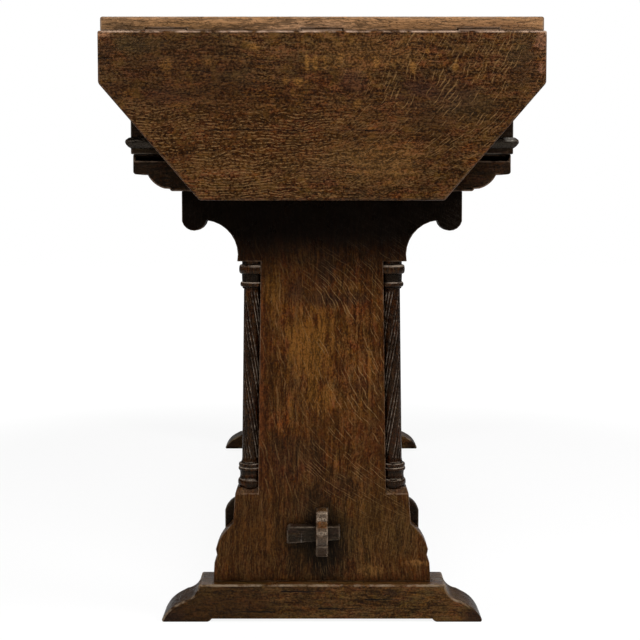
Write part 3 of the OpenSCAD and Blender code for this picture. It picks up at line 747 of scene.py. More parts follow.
    def patch(self, graph: Graph, here: Socket, ragged: Socket, patch: Patch) -> Socket:
        """Adds the mask of one patch.

        Args:
            graph: The material's graph.
            here: Object coordinates.
            ragged: Noise that frays the patch's edge.
            patch: The patch.

        Returns:
            The mask's socket.
        """
        scale = (1.0 / patch.wide, 0.0, 1.0 / patch.high)
        place = graph.stretch(here, scale, (-patch.x * scale[0], 0.0, -patch.z * scale[2]))
        away = graph.add("VectorMath", {0: place}, operation="LENGTH").outputs["Value"]
        frayed = graph.math("ADD", away, graph.math("MULTIPLY", ragged, patch.fray))
        return graph.band(frayed, 1.25, 0.35)

    def splits(self, graph: Graph, here: Socket) -> Socket | None:
        """Adds the splits' mask.

        Args:
            graph: The material's graph.
            here: Object coordinates.

        Returns:
            The mask's socket, or None for a board without splits.
        """
        if not self.oak.splits:
            return None
        x, _, z = graph.add("SeparateXYZ", {0: here}).outputs
        jag = graph.math("SUBTRACT", graph.noise(graph.stretch(here, (60, 0, 0)), 1.0, 4.0, 0.7), 0.5)
        level = graph.math("ADD", z, graph.math("MULTIPLY", jag, 0.0035))
        mask = None
        for split in self.oak.splits:
            width = graph.band(x, split.mouth, split.tip, split.width, 0.0)
            past = graph.math("MULTIPLY", graph.math("SUBTRACT", x, split.mouth), split.tip - split.mouth)
            width = graph.math("MULTIPLY", width, graph.math("GREATER_THAN", past, 0.0))
            gap = graph.math("ABSOLUTE", graph.math("SUBTRACT", level, split.height))
            one = graph.math("SUBTRACT", 1.0, graph.math("DIVIDE", gap, graph.math("MAXIMUM", width, 1e-6)), True)
            mask = graph.math("MAXIMUM", mask, one) if mask else one
        return graph.band(mask, 0.0, 0.5)

    def rays(self, graph: Graph, here: Socket) -> Socket | None:
        """Adds the rays' mask.

        Args:
            graph: The material's graph.
            here: Object coordinates.

        Returns:
            The mask's socket, or None for a board without rays.
        """
        style = self.oak.rays
        if style is Rays.NONE:
            return None
        x, y, z = graph.add("SeparateXYZ", {0: here}).outputs
        if style is Rays.SWIRL:
            return self.swirl(graph, x, z)
        if style is Rays.SLANT:
            return self.slant(graph, x, z)
        wave = graph.noise(here, 9.0, 1.0)
        across = graph.math("ADD", z if self.oak.grain is Grain.UPRIGHT else x, graph.math("MULTIPLY", wave, 0.05))
        along = graph.math("ADD", graph.math("MULTIPLY", y, 0.8), z)
        marks = RayMarks.place(graph, Vector=graph.combine(across, along, self.oak.seed), Density=150.0, Length=34.0)
        return marks["Mask"]

    def slant(self, graph: Graph, x: Socket, z: Socket) -> Socket:
        """Adds rays that slant down to the right, flatter towards the foot, and fine upright ones on the plinth.

        Args:
            graph: The material's graph.
            x: Place across the upright.
            z: Height.

        Returns:
            The mask's socket.
        """
        down = graph.math("SUBTRACT", 0.50, z)
        bow = graph.math("MULTIPLY", graph.math("POWER", graph.math("SUBTRACT", down, 0.17), 3.0), 12.7)
        lean = graph.math("ADD", bow, graph.math("MULTIPLY", down, 0.45))
        wave = graph.math("MULTIPLY", graph.noise(graph.combine(x, z), 10.0, 1.0), 0.035)
        bent = graph.math("SUBTRACT", graph.noise(graph.combine(x, z), 60.0, 1.0), 0.5)
        wave = graph.math("ADD", wave, graph.math("MULTIPLY", bent, 0.006))
        across = graph.math("ADD", graph.math("SUBTRACT", x, lean), wave)
        along = graph.math("ADD", down, graph.math("MULTIPLY", x, 0.6))
        place = graph.combine(across, along, self.oak.seed)
        right = RayMarks.place(graph, Vector=place, Density=200.0, Length=31.0, Level=0.49)
        across = graph.math("ADD", graph.math("SUBTRACT", x, graph.math("MULTIPLY", down, 0.2)), wave)
        place = graph.combine(across, along, self.oak.seed + 3.0)
        left = RayMarks.place(graph, Vector=place, Density=165.0, Length=26.0, Level=0.52)
        share = graph.band(x, -0.045, 0.0)
        steep = graph.math("MULTIPLY", graph.math("SUBTRACT", 1.0, share), graph.math("MULTIPLY", left["Mask"], 0.6))
        both = graph.math("ADD", steep, graph.math("MULTIPLY", share, right["Mask"]))
        both = graph.math("MULTIPLY", both, graph.band(z, 0.09, 0.19, 0.12, 1.0))
        place = graph.combine(graph.math("ADD", x, wave), down, self.oak.seed + 5.0)
        low = RayMarks.place(graph, Vector=place, Density=330.0, Length=60.0, Level=0.45)
        return graph.math("ADD", both, graph.math("MULTIPLY", low["Mask"], graph.band(z, 0.13, 0.19, 0.4, 0.0)))

    def swirl(self, graph: Graph, x: Socket, z: Socket) -> Socket:
        """Adds rays that stand steep at the top of a leaf and lie down towards its free edge.

        Args:
            graph: The material's graph.
            x: Place across the leaf.
            z: Height.

        Returns:
            The mask's socket.
        """
        down = graph.math("SUBTRACT", 0.741, z)
        cube = graph.math("POWER", down, 3.0)
        lean = graph.math("ADD", graph.math("MULTIPLY", down, 0.3), graph.math("MULTIPLY", cube, 21.7))
        wave = graph.noise(graph.combine(x, z), 8.0, 1.0)
        across = graph.math("ADD", graph.math("ADD", x, lean), graph.math("MULTIPLY", wave, 0.04))
        bent = graph.math("SUBTRACT", graph.noise(graph.combine(x, z), 55.0, 1.0), 0.5)
        across = graph.math("ADD", across, graph.math("MULTIPLY", bent, 0.007))
        along = graph.math("SUBTRACT", down, x)
        place = graph.combine(across, along, 0.0)
        steep = RayMarks.place(graph, Vector=place, Density=185.0, Length=44.0, Level=0.49)
        curl = graph.math("MULTIPLY", graph.noise(graph.combine(x, z), 28.0, 2.0), 0.014)
        ripple = graph.math("ADD", graph.math("ADD", down, graph.math("MULTIPLY", wave, 0.02)), curl)
        place = graph.combine(ripple, x, 0.0)
        flat = RayMarks.place(graph, Vector=place, Density=270.0, Length=190.0, Level=0.46, Thickness=2.2)
        left = graph.math("MULTIPLY", flat["Mask"], graph.band(down, 0.075, 0.115, 0.1, 1.3))
        share = graph.band(x, -0.02, 0.10)
        first = graph.math("MULTIPLY", left, graph.math("SUBTRACT", 1.0, share))
        return graph.math("ADD", first, graph.math("MULTIPLY", steep["Mask"], share), clamp=True)


class IronShader:
    """Builds the material of old iron."""

    def __init__(self, iron: Iron) -> None:
        """Keeps the finish.

        Args:
            iron: The finish to build.
        """
        self.iron = iron

    def material(self) -> bpy.types.Material:
        """Returns the material, and builds it the first time."""
        iron = self.iron
        made = bpy.data.materials.get(iron.name)
        if made:
            return made
        made = bpy.data.materials.new(iron.name)
        made.use_nodes = True
        graph = Graph(made.node_tree)
        shader = made.node_tree.nodes["Principled BSDF"]
        here = graph.add("TexCoord").outputs["Object"]
        blotch = Blotches.place(graph, Vector=here, Size=0.012)
        colour = graph.mix(graph.math("MULTIPLY", blotch["Warm"], iron.rust_amount), iron.dark, iron.rust)
        inner = graph.add("AmbientOcclusion", {"Distance": 0.0015}, samples=4, inside=True, only_local=True)
        rubbed = graph.band(graph.math("SUBTRACT", 1.0, inner.outputs["AO"]), 0.15, 0.6, 0.0, 0.5)
        colour = graph.mix(rubbed, colour, BARE_IRON)
        graph.feed(shader.inputs["Base Color"], colour)
        graph.feed(shader.inputs["Metallic"], graph.band(blotch["Warm"], 0.2, 0.8, iron.metal, 0.15))
        graph.feed(shader.inputs["Roughness"], graph.spread(blotch["Sheen"], iron.roughness - 0.12, 0.25))
        forged = graph.noise(graph.stretch(here, (160, 160, 160)), 1.0, 3.0)
        bump = graph.add("Bump", {"Strength": 0.5, "Distance": 0.0004, "Height": forged})
        graph.feed(shader.inputs["Normal"], bump.outputs[0])
        return made


def select_only(piece: bpy.types.Object) -> None:
    """Selects one object and makes it active."""
    bpy.ops.object.select_all(action="DESELECT")
    piece.select_set(True)
    bpy.context.view_layer.objects.active = piece


@contextmanager
def editing(piece: bpy.types.Object, mode: str = "EDGE") -> Iterator[None]:
    """Opens a piece in edit mode with nothing selected, and closes it afterwards.

    Args:
        piece: The object to edit.
        mode: VERT, EDGE or FACE.
    """
    select_only(piece)
    bpy.ops.object.mode_set(mode="EDIT")
    bpy.ops.mesh.select_mode(type=mode)
    bpy.ops.mesh.select_all(action="DESELECT")
    yield
    bpy.ops.object.mode_set(mode="OBJECT")


def pick(piece: bpy.types.Object, kind: str, test: Callable[[object], bool]) -> int:
    """Selects parts of the mesh that is being edited.

    Args:
        piece: The object in edit mode.
        kind: verts, edges or faces.
        test: Says whether a part is taken.

    Returns:
        How many were taken.
    """
    mesh = bmesh.from_edit_mesh(piece.data)
    mesh.normal_update()
    taken = 0
    for part in getattr(mesh, kind):
        if test(part):
            part.select_set(True)
            taken += 1
    mesh.select_flush_mode()
    bmesh.update_edit_mesh(piece.data)
    return taken


def mark(
    piece: bpy.types.Object, kind: str, name: str, test: Callable[[object], bool], level: float = 1.0
) -> None:
    """Gives the selected parts of the mesh that is being edited an attribute.

    Args:
        piece: The object in edit mode.
        kind: verts or faces.
        name: The attribute's name.
        test: Says whether a selected part is marked.
        level: The attribute's value.
    """
    mesh = bmesh.from_edit_mesh(piece.data)
    parts = getattr(mesh, kind)
    layer = parts.layers.float.get(name) or parts.layers.float.new(name)
    for part in parts:
        if part.select and test(part):
            part[layer] = level
    bmesh.update_edit_mesh(piece.data)


def put_in_order(piece: bpy.types.Object) -> None:
    """Puts the edges and faces of the mesh that is being edited in the order of their points.

    Extruding leaves that order to chance, and each run has to give the same mesh.

    Args:
        piece: The object in edit mode.
    """
    mesh = bmesh.from_edit_mesh(piece.data)
    mesh.verts.index_update()
    count = len(mesh.verts)

    def rank(part: bmesh.types.BMEdge | bmesh.types.BMFace) -> int:
        """Returns a number that only this part has."""
        numbers = [vertex.index for vertex in part.verts]
        return min(numbers) * count + max(numbers)

    mesh.edges.sort(key=rank)
    mesh.faces.sort(key=rank)
    bmesh.update_edit_mesh(piece.data)


def max_side(face: bmesh.types.BMFace) -> float:
    """Returns the length of a face's longest edge."""
    return max(edge.calc_length() for edge in face.edges)


def settle(piece: bpy.types.Object) -> None:
    """Moves an object's place into its mesh, so that it sits at the origin, unturned and unscaled."""
    select_only(piece)
    bpy.ops.object.transform_apply(location=True, rotation=True, scale=True)


@dataclass
class Boards:
    """Copies of CAD boards whose arrises are worn round.

    The faces of the rounding carry the attribute arris, which the finish reads.

    Attributes:
        nodes: The CAD nodes by name.
        bodies: The body of each node.
        shortest: Edges under this length keep their corner, such as the rims of screw holes.
        sharpest: Edges that turn by less than this, in degrees, are part of a curve.
        grounded: Edges lower than this that run across stay square, so that the feet stand firm.
        weld: Points of a copy that lie closer than this are joined.
        flat: Triangles that turn by less than this, in degrees, are joined into one face.
        smooth: Edges that turn by less than this, in degrees, are shaded round.
        end_facing: How squarely a face has to look along the grain to be end grain, from 0 to 1.
    """

    nodes: dict[str, bpy.types.Object]
    bodies: dict[str, str]
    shortest: float = 0.0018
    sharpest: float = 28.0
    grounded: float = 0.0045
    weld: float = 0.00001
    flat: float = 0.6
    smooth: float = 35.0
    end_facing: float = 0.6

    def copy(self, node: str, name: str) -> bpy.types.Object:
        """Copies a CAD node and merges the copy's loose triangles.

        Args:
            node: The CAD node.
            name: The new piece's name.

        Returns:
            The copy, which rides on nothing yet.
        """
        select_only(self.nodes[node])
        bpy.ops.object.duplicate()
        piece = bpy.context.view_layer.objects.active
        piece.name = name
        piece.parent = None
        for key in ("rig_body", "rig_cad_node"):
            del piece[key]
        piece.data.materials.clear()
        with editing(piece):
            bpy.ops.mesh.select_all(action="SELECT")
            bpy.ops.mesh.remove_doubles(threshold=self.weld)
            bpy.ops.mesh.dissolve_limited(angle_limit=math.radians(self.flat))
        return piece

    def wear(self, piece: bpy.types.Object, arris: float, segments: int = 3) -> None:
        """Rounds the long sharp edges of a piece.

        Args:
            piece: The piece.
            arris: Width of the rounding.
            segments: Faces across the rounding.
        """

        def sharp(edge: bmesh.types.BMEdge) -> bool:
            """Says whether an edge is a real arris that stands out."""
            if len(edge.link_faces) != 2 or edge.calc_length() < self.shortest:
                return False
            first, second = (vertex.co for vertex in edge.verts)
            if max(first.z, second.z) < self.grounded and abs(first.x - second.x) > abs(first.y - second.y):
                return False
            return edge.is_convex and edge.calc_face_angle() > math.radians(self.sharpest)

        with editing(piece):
            if pick(piece, "edges", sharp):
                bpy.ops.mesh.bevel(
                    offset=arris, segments=segments, profile=0.5, affect="EDGES", clamp_overlap=False, loop_slide=False
                )
                mark(piece, "faces", "arris", lambda face: face.calc_area() < arris * max_side(face))
        select_only(piece)
        bpy.ops.object.shade_smooth_by_angle(angle=math.radians(self.smooth))
        even = piece.modifiers.new("even", "WEIGHTED_NORMAL")
        even.keep_sharp = True
        bpy.ops.object.modifier_apply(modifier=even.name)

    def stand_for(self, piece: bpy.types.Object, node: str, material: bpy.types.Material, slot: str) -> None:
        """Puts a finished piece in its node's place.

        Args:
            piece: The piece.
            node: The CAD node that it stands for.
            material: Its finish.
            slot: The record's material slot; not used.
        """
        piece.data.materials.clear()
        piece.data.materials.append(material)
        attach(piece, self.bodies[node])
        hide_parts(node)
        log.info("%s stands for %s: %d faces", piece.name, node, len(piece.data.polygons))

    def board(self, node: str, oak: Oak, slot: str, arris: float = 0.0012) -> None:
        """Makes the worn copy of one board.

        Args:
            node: The CAD node.
            oak: Its finish.
            slot: The record's material slot.
            arris: Width of the rounding.
        """
        piece = self.copy(node, node + "_worn")
        if oak.end_grain:
            along = "XYZ".index((oak.ends_face or oak.grain).value)
            with editing(piece, "FACE"):
                bpy.ops.mesh.select_all(action="SELECT")
                mark(piece, "faces", "end", lambda face: abs(face.normal[along]) > self.end_facing)
        self.wear(piece, arris)
        self.stand_for(piece, node, OakShader(oak).material(), slot)


@dataclass
class Top:
    """The fixed top: three boards and an end clamp at each end.

    Attributes:
        boards: Makes the worn copies.
        arris: Width of the rounding of a clamp.
        board_arris: Width of the rounding of a board, which its neighbours shelter.
        oak: The finish of the boards, and of the clamps but for their ends.
        edge_tones: Paler and darker stretches of a clamp's end face.
    """

    boards: Boards
    arris: float = 0.0026
    board_arris: float = 0.0010
    oak: Oak = Oak(
        "top oak", Grain.ALONG, (0.034, 0.013, 0.004), (0.090, 0.042, 0.016), (0.160, 0.085, 0.038),
        rays=Rays.SCATTERED, ray_amount=0.3, gold_amount=0.25,
    )
    edge_tones: tuple[Patch, ...] = (
        Patch(-0.250, 0.746, 0.045, 0.011, (0.105, 0.061, 0.027), 0.45, 1.5),
        Patch(-0.165, 0.746, 0.070, 0.011, (0.125, 0.062, 0.021), 0.55, 1.5),
        Patch(-0.015, 0.746, 0.065, 0.011, (0.275, 0.150, 0.078), 0.65, 1.5),
        Patch(0.110, 0.746, 0.050, 0.011, (0.125, 0.058, 0.021), 0.55, 1.5),
        Patch(0.205, 0.746, 0.070, 0.011, (0.120, 0.054, 0.022), 0.60, 1.5),
    )

    def build(self) -> None:
        """Makes the boards and the clamps."""
        for number, node in enumerate(("left_top_board", "middle_top_board", "right_top_board")):
            oak = replace(self.oak, name=f"{node} oak", seed=1.0 + number)
            self.boards.board(node, oak, "top_oak", self.board_arris)
        for end in End:
            oak = replace(
                self.oak, name=f"{end.word} clamp oak", grain=Grain.ACROSS, seed=5.0 + end.value, rays=Rays.NONE,
                mottle=0.35, specks=0.05, end_grain=(0.190, 0.098, 0.043), ends_face=Grain.ALONG,
                patches=self.edge_tones,
            )
            self.boards.board(f"{end.word}_clamp", oak, "top_oak", self.arris)


@dataclass
class Leaves:
    """The two hanging leaves, with splits that run in from their ends.

    Attributes:
        boards: Makes the worn copies.
        arris: Width of the rounding.
        oak: The finish, whose splits are given across the leaf and by height.
    """

    boards: Boards
    arris: float = 0.0024
    oak: Oak = Oak(
        "leaf oak", Grain.ACROSS, (0.006, 0.0016, 0.0002), (0.038, 0.0140, 0.0032), (0.100, 0.046, 0.0165),
        specks=0.45, rays=Rays.SWIRL, ray=(0.165, 0.088, 0.032), ray_amount=0.66, gold=(0.105, 0.050, 0.010),
        gold_amount=0.5, gold_size=0.018, worn=(0.30, 0.20, 0.14), wear=0.9, worn_from=0.738, gloss=0.065,
        patches=(
            Patch(-0.1854, 0.699, 0.0071, 0.0107, GOLDEN, 0.67, 2.5),
            Patch(-0.1343, 0.7046, 0.0095, 0.006, GOLDEN, 0.49, 3.0),
            Patch(-0.0805, 0.7215, 0.0083, 0.0048, GOLDEN, 0.63, 2.5),
            Patch(-0.0181, 0.7019, 0.0031, 0.0107, GOLDEN, 0.72, 1.6),
            Patch(-0.008, 0.7028, 0.0033, 0.0107, GOLDEN, 0.72, 1.6),
            Patch(0.0037, 0.7046, 0.0026, 0.0095, GOLDEN, 0.45, 2.0),
            Patch(-0.028, 0.6807, 0.006, 0.0071, GOLDEN, 0.67, 2.5),
            Patch(-0.0436, 0.6807, 0.0048, 0.0054, GOLDEN, 0.54, 2.5),
            Patch(-0.0351, 0.6679, 0.003, 0.006, GOLDEN, 0.45, 2.5),
            Patch(-0.1712, 0.6514, 0.0131, 0.0048, GOLDEN, 0.45, 3.5),
            Patch(-0.1542, 0.6407, 0.0071, 0.003, GOLDEN, 0.49, 3.0),
            Patch(0.0215, 0.7077, 0.0048, 0.0071, GOLDEN, 0.45, 3.0),
            Patch(0.0649, 0.7064, 0.0054, 0.0083, GOLDEN, 0.58, 3.0),
            Patch(0.1257, 0.717, 0.0031, 0.0095, GOLDEN, 0.58, 2.5),
            Patch(0.1082, 0.6969, 0.0043, 0.0095, GOLDEN, 0.58, 2.5),
            Patch(0.1582, 0.6982, 0.0045, 0.0083, GOLDEN, 0.58, 2.5),
            Patch(0.0419, 0.6553, 0.006, 0.006, GOLDEN, 0.54, 3.0),
            Patch(-0.2192, 0.7246, 0.031, 0.0143, OLIVE, 0.6, 2.0),
            Patch(0.2332, 0.7093, 0.0179, 0.019, OLIVE, 0.5, 2.5),
            Patch(0.1713, 0.6526, 0.0357, 0.0179, OLIVE, 0.5, 2.5),
            Patch(0.0368, 0.6798, 0.0179, 0.0167, PLUM, 0.6, 2.5),
            Patch(0.1177, 0.6715, 0.0214, 0.0095, PLUM, 0.6, 2.5),
            Patch(-0.1858, 0.6632, 0.0286, 0.0095, PLUM, 0.5, 2.5),
            Patch(-0.0977, 0.6881, 0.0238, 0.0095, OLIVE, 0.45, 3.0),
            Patch(-0.0073, 0.5753, 0.0238, 0.0071, PLUM, 0.4, 2.5),
            Patch(0.243, 0.7, 0.018, 0.022, DUSKY, 0.5),
            Patch(0, 0.563, 0.022, 0.006, DUSKY, 0.5),
            Patch(0.16, 0.665, 0.03, 0.012, DUSKY, 0.35),
            Patch(-0.257, 0.718, 0.012, 0.020, DUSKY, 0.6),
            Patch(-0.250, 0.670, 0.016, 0.016, DUSKY, 0.4),
            Patch(0.262, 0.728, 0.006, 0.010, (0.200, 0.090, 0.050), 0.4, 5.0),
            Patch(0.261, 0.697, 0.004, 0.007, (0.220, 0.095, 0.050), 0.45),
            Patch(-0.262, 0.737, 0.012, 0.003, (0.260, 0.120, 0.060), 0.5),
            Patch(-0.17, 0.685, 0.100, 0.060, (0.022, 0.0085, 0.0030), 0.42, 1.0),
            Patch(-0.05, 0.625, 0.180, 0.065, (0.030, 0.0082, 0.0010), 0.32, 1.0),
            Patch(0.14, 0.660, 0.055, 0.035, DUSKY, 0.40, 1.0),
            Patch(0.03, 0.582, 0.100, 0.020, (0.110, 0.058, 0.018), 0.14, 1.0),
            Patch(-0.200, 0.634, 0.045, 0.020, UMBER, 0.34, 1.5),
            Patch(-0.095, 0.646, 0.035, 0.020, UMBER, 0.26, 1.5),
            Patch(0.130, 0.632, 0.065, 0.022, UMBER, 0.28, 1.5),
            Patch(0.195, 0.640, 0.035, 0.022, UMBER, 0.34, 1.5),
            Patch(-0.150, 0.584, 0.035, 0.020, (0.030, 0.0125, 0.0030), 0.26, 1.5),
            Patch(0.075, 0.588, 0.050, 0.028, HONEY, 0.26, 1.5),
            Patch(0.055, 0.714, 0.075, 0.022, HONEY, 0.24, 1.5),
        ),
        splits=(
            Split(-0.2720, -0.2440, 0.7078, 0.0012),
            Split(-0.2720, -0.2540, 0.7120, 0.0008),
            Split(0.2720, 0.2540, 0.7129, 0.0012),
            Split(0.2600, 0.2330, 0.6668, 0.0009),
            Split(-0.1350, 0.1420, 0.6229, 0.0007),
            Split(0.0510, 0.0760, 0.6222, 0.0010),
        ),
    )

    def build(self) -> None:
        """Makes both leaves."""
        for end in End:
            oak = replace(self.oak, name=f"{end.word} leaf oak", seed=2.0 if end is End.NEAR else 6.5)
            self.boards.board(f"{end.word}_leaf", oak, "leaf_oak", self.arris)


@dataclass
class Frieze:
    """The box under the top: rails, beads, cross rails and glue blocks.

    Attributes:
        boards: Makes the worn copies.
        rail_arris: Width of the rounding of a rail.
        bead_arris: Width of the rounding of a bead's own edges.
        oak: The finish of the end rails, darkened as painted shade under the leaf and the top.
        side: The finish of the side rails.
        bead: The finish of the beads, with a painted highlight at their right-hand corner.
        inner: The finish of the pieces inside.
    """

    boards: Boards
    rail_arris: float = 0.0015
    bead_arris: float = 0.0006
    # The end rails are much darker than the side rails: painted shade for the leaf and the top that hang over them.
    oak: Oak = Oak(
        "frieze oak", Grain.ALONG, (0.0035, 0.0016, 0.0006), (0.0115, 0.0052, 0.0024), (0.026, 0.0145, 0.0075),
        rays=Rays.SCATTERED, ray=(0.060, 0.036, 0.020), ray_amount=0.3, gold_amount=0.1, grime=0.85,
        worn=(0.10, 0.085, 0.07), wear=0.7,
    )
    side: Oak = Oak(
        "frieze side oak", Grain.ALONG, (0.012, 0.005, 0.0015), (0.036, 0.0155, 0.0058), (0.070, 0.035, 0.015),
        rays=Rays.SCATTERED, ray=(0.100, 0.056, 0.028), ray_amount=0.35, gold_amount=0.2, grime=0.8,
        gold=(0.075, 0.033, 0.009), worn=(0.12, 0.085, 0.06), wear=0.7, end_grain=(0.012, 0.0060, 0.003),
    )
    bead: Oak = Oak(
        "bead oak", Grain.ALONG, (0.0012, 0.0008, 0.0005), (0.0035, 0.0025, 0.0018), (0.010, 0.0075, 0.0055),
        gold_amount=0.0, grime=0.9, roughness=0.24, gloss=0.34, worn=(0.13, 0.105, 0.085), wear=0.6,
        # The patch paints a highlight at the beads' right-hand corner, where the light from the right catches them.
        patches=(Patch(0.2335, 0.6145, 0.008, 0.0030, (0.26, 0.24, 0.21), 0.9, 1.5),),
    )
    inner: Oak = Oak(
        "inner oak", Grain.ACROSS, (0.060, 0.034, 0.017), (0.120, 0.070, 0.035), (0.170, 0.105, 0.055),
        gold_amount=0.1, wear=0.2, roughness=0.7,
    )

    def build(self) -> None:
        """Makes the rails, the beads and the pieces inside."""
        along = ("left_rail", "right_rail", "left_bead", "right_bead")
        across = ("near_end_rail", "far_end_rail", "near_bead", "far_bead")
        for number, node in enumerate(along + across):
            grain = Grain.ALONG if node in along else Grain.ACROSS
            kind = self.bead if "bead" in node else self.side if node in along else self.oak
            oak = replace(kind, name=f"{node} oak", grain=grain, seed=8.0 + number)
            self.boards.board(node, oak, "frieze_oak", self.bead_arris if "bead" in node else self.rail_arris)
        for end in End:
            oak = replace(self.inner, name=f"{end.word} cross rail oak", seed=20.0 + end.value)
            self.boards.board(f"{end.word}_cross_rail", oak, "inner_oak")
        self.boards.board("glue_blocks", replace(self.inner, name="block oak", grain=Grain.ALONG), "inner_oak")


@dataclass
class Trestles:
    """The two trestles: foot, upright, cleat and bearer at each end.

    Attributes:
        boards: Makes the worn copies.
        arrises: Width of the rounding, by kind of piece.
        upright: The finish of the uprights, with a painted shadow over the head, under the leaf and the top.
        foot: The finish of the feet.
        bearer: The finish of the bearers and their pegs.
        cleat: The finish of the cleats.
    """

    boards: Boards
    arrises: tuple[tuple[str, float], ...] = (
        ("upright", 0.0010), ("foot", 0.0024), ("bearer", 0.0018), ("cleat", 0.0016), ("peg", 0.0006),
    )
    # The head darkens upwards from 0.40 m to 0.50 m as a painted shadow of the leaf and the top.
    upright: Oak = Oak(
        "upright oak", Grain.UPRIGHT, (0.016, 0.0042, 0.0005), (0.055, 0.0184, 0.0038), (0.116, 0.048, 0.0140),
        rays=Rays.SLANT, ray_amount=0.6, gold=(0.110, 0.043, 0.007), gold_amount=0.3, soot=(0.40, 0.50, 0.97),
        gloss=0.08, margin=(0.045, 0.080, 0.45), wear=0.35, specks=0.26,
        patches=(
            Patch(0.005, 0.445, 0.014, 0.022, TARRY, 0.6),
            Patch(0.015, 0.413, 0.038, 0.011, TARRY, 0.6),
            Patch(-0.033, 0.425, 0.012, 0.018, TARRY, 0.4),
            Patch(0.052, 0.305, 0.02, 0.012, TARRY, 0.4),
            Patch(-0.03, 0.205, 0.045, 0.035, TARRY, 0.5),
            Patch(0.025, 0.17, 0.03, 0.02, TARRY, 0.4),
            Patch(-0.035, 0.305, 0.012, 0.012, TARRY, 0.35),
            Patch(-0.010, 0.35, 0.035, 0.055, AMBER, 0.62),
            Patch(-0.063, 0.42, 0.012, 0.03, AMBER, 0.4),
            Patch(0, 0.285, 0.025, 0.02, AMBER, 0.4),
            Patch(0.002, 0.095, 0.058, 0.062, (0.0032, 0.0019, 0.0010), 1.0, 1.2),
            Patch(-0.077, 0.30, 0.005, 0.15, (0.075, 0.021, 0.006), 0.5),
            Patch(-0.08, 0.11, 0.032, 0.028, (0.105, 0.036, 0.006), 0.25),
            Patch(-0.075, 0.100, 0.070, 0.070, (0.026, 0.0125, 0.0030), 0.40, 1.0),
            Patch(0.007, 0.178, 0.042, 0.026, (0.020, 0.0095, 0.0030), 0.42, 1.2),
            Patch(-0.035, 0.222, 0.042, 0.022, (0.024, 0.0105, 0.0032), 0.34, 1.2),
            Patch(0.003, 0.413, 0.030, 0.012, STAINED, 0.38, 1.2),
            Patch(0.045, 0.413, 0.014, 0.010, STAINED, 0.34, 1.2),
            Patch(0.000, 0.440, 0.016, 0.018, STAINED, 0.34, 1.2),
            Patch(-0.035, 0.424, 0.014, 0.016, STAINED, 0.28, 1.2),
            Patch(0.062, 0.325, 0.006, 0.030, (0.130, 0.055, 0.010), 0.30, 1.5),
            Patch(-0.018, 0.148, 0.034, 0.026, (0.0060, 0.0032, 0.0014), 0.55, 1.2),
            Patch(0.108, 0.118, 0.018, 0.040, (0.022, 0.0125, 0.0040), 0.35, 1.2),
            Patch(0.123, 0.072, 0.018, 0.0050, (0.190, 0.085, 0.024), 0.38),
            Patch(0.068, 0.062, 0.02, 0.008, (0.160, 0.075, 0.020), 0.45),
            Patch(0.070, 0.120, 0.060, 0.060, (0.040, 0.0200, 0.0045), 0.5, 1.5),
        ),
    )
    foot: Oak = Oak(
        "foot oak", Grain.ACROSS, (0.010, 0.0036, 0.0006), (0.042, 0.0175, 0.0042), (0.088, 0.043, 0.0140),
        gold_amount=0.3, gold=(0.085, 0.040, 0.009), worn=(0.16, 0.115, 0.075), wear=0.8, gloss=0.11, reach=0.006,
        patches=(
            Patch(0.0886, 0.038, 0.009, 0.005, TARRY, 0.7),
            Patch(-0.135, 0.012, 0.100, 0.040, (0.016, 0.0062, 0.0014), 0.8, 1.5),
            Patch(-0.195, 0.000, 0.022, 0.024, TARRY, 0.9, 1.0),
            Patch(0.198, 0.000, 0.020, 0.024, TARRY, 0.9, 1.0),
        ),
        splits=(
            Split(-0.0520, 0.0250, 0.0395, 0.0012),
            Split(-0.0050, 0.0750, 0.0170, 0.0011),
            Split(0.0550, 0.1150, 0.0290, 0.0011),
            Split(-0.0600, -0.1500, 0.0130, 0.0010),
        ),
    )
    bearer: Oak = Oak(
        "bearer oak", Grain.ACROSS, (0.002, 0.0008, 0.0002), (0.010, 0.0040, 0.0014), (0.030, 0.013, 0.005),
        gold_amount=0.1, gold=(0.04, 0.018, 0.005),
    )
    cleat: Oak = Oak(
        "cleat oak", Grain.ACROSS, (0.002, 0.0009, 0.0003), (0.0065, 0.0029, 0.0012), (0.016, 0.008, 0.0036),
        gold_amount=0.05, worn=(0.07, 0.055, 0.042), wear=0.5,
    )

    def build(self) -> None:
        """Makes both trestles."""
        arrises = dict(self.arrises)
        kinds = {"upright": self.upright, "foot": self.foot, "bearer": self.bearer, "cleat": self.cleat}
        for end in End:
            for part, oak in kinds.items():
                finish = replace(oak, name=f"{end.word} {part} oak", seed=30.0 + 3 * end.value)
                self.boards.board(f"{end.word}_{part}", finish, f"{part}_oak", arrises[part])
        pegs = replace(self.bearer, name="peg oak", grain=Grain.ALONG)
        self.boards.board("bearer_pegs", pegs, "bearer_oak", arrises["peg"])


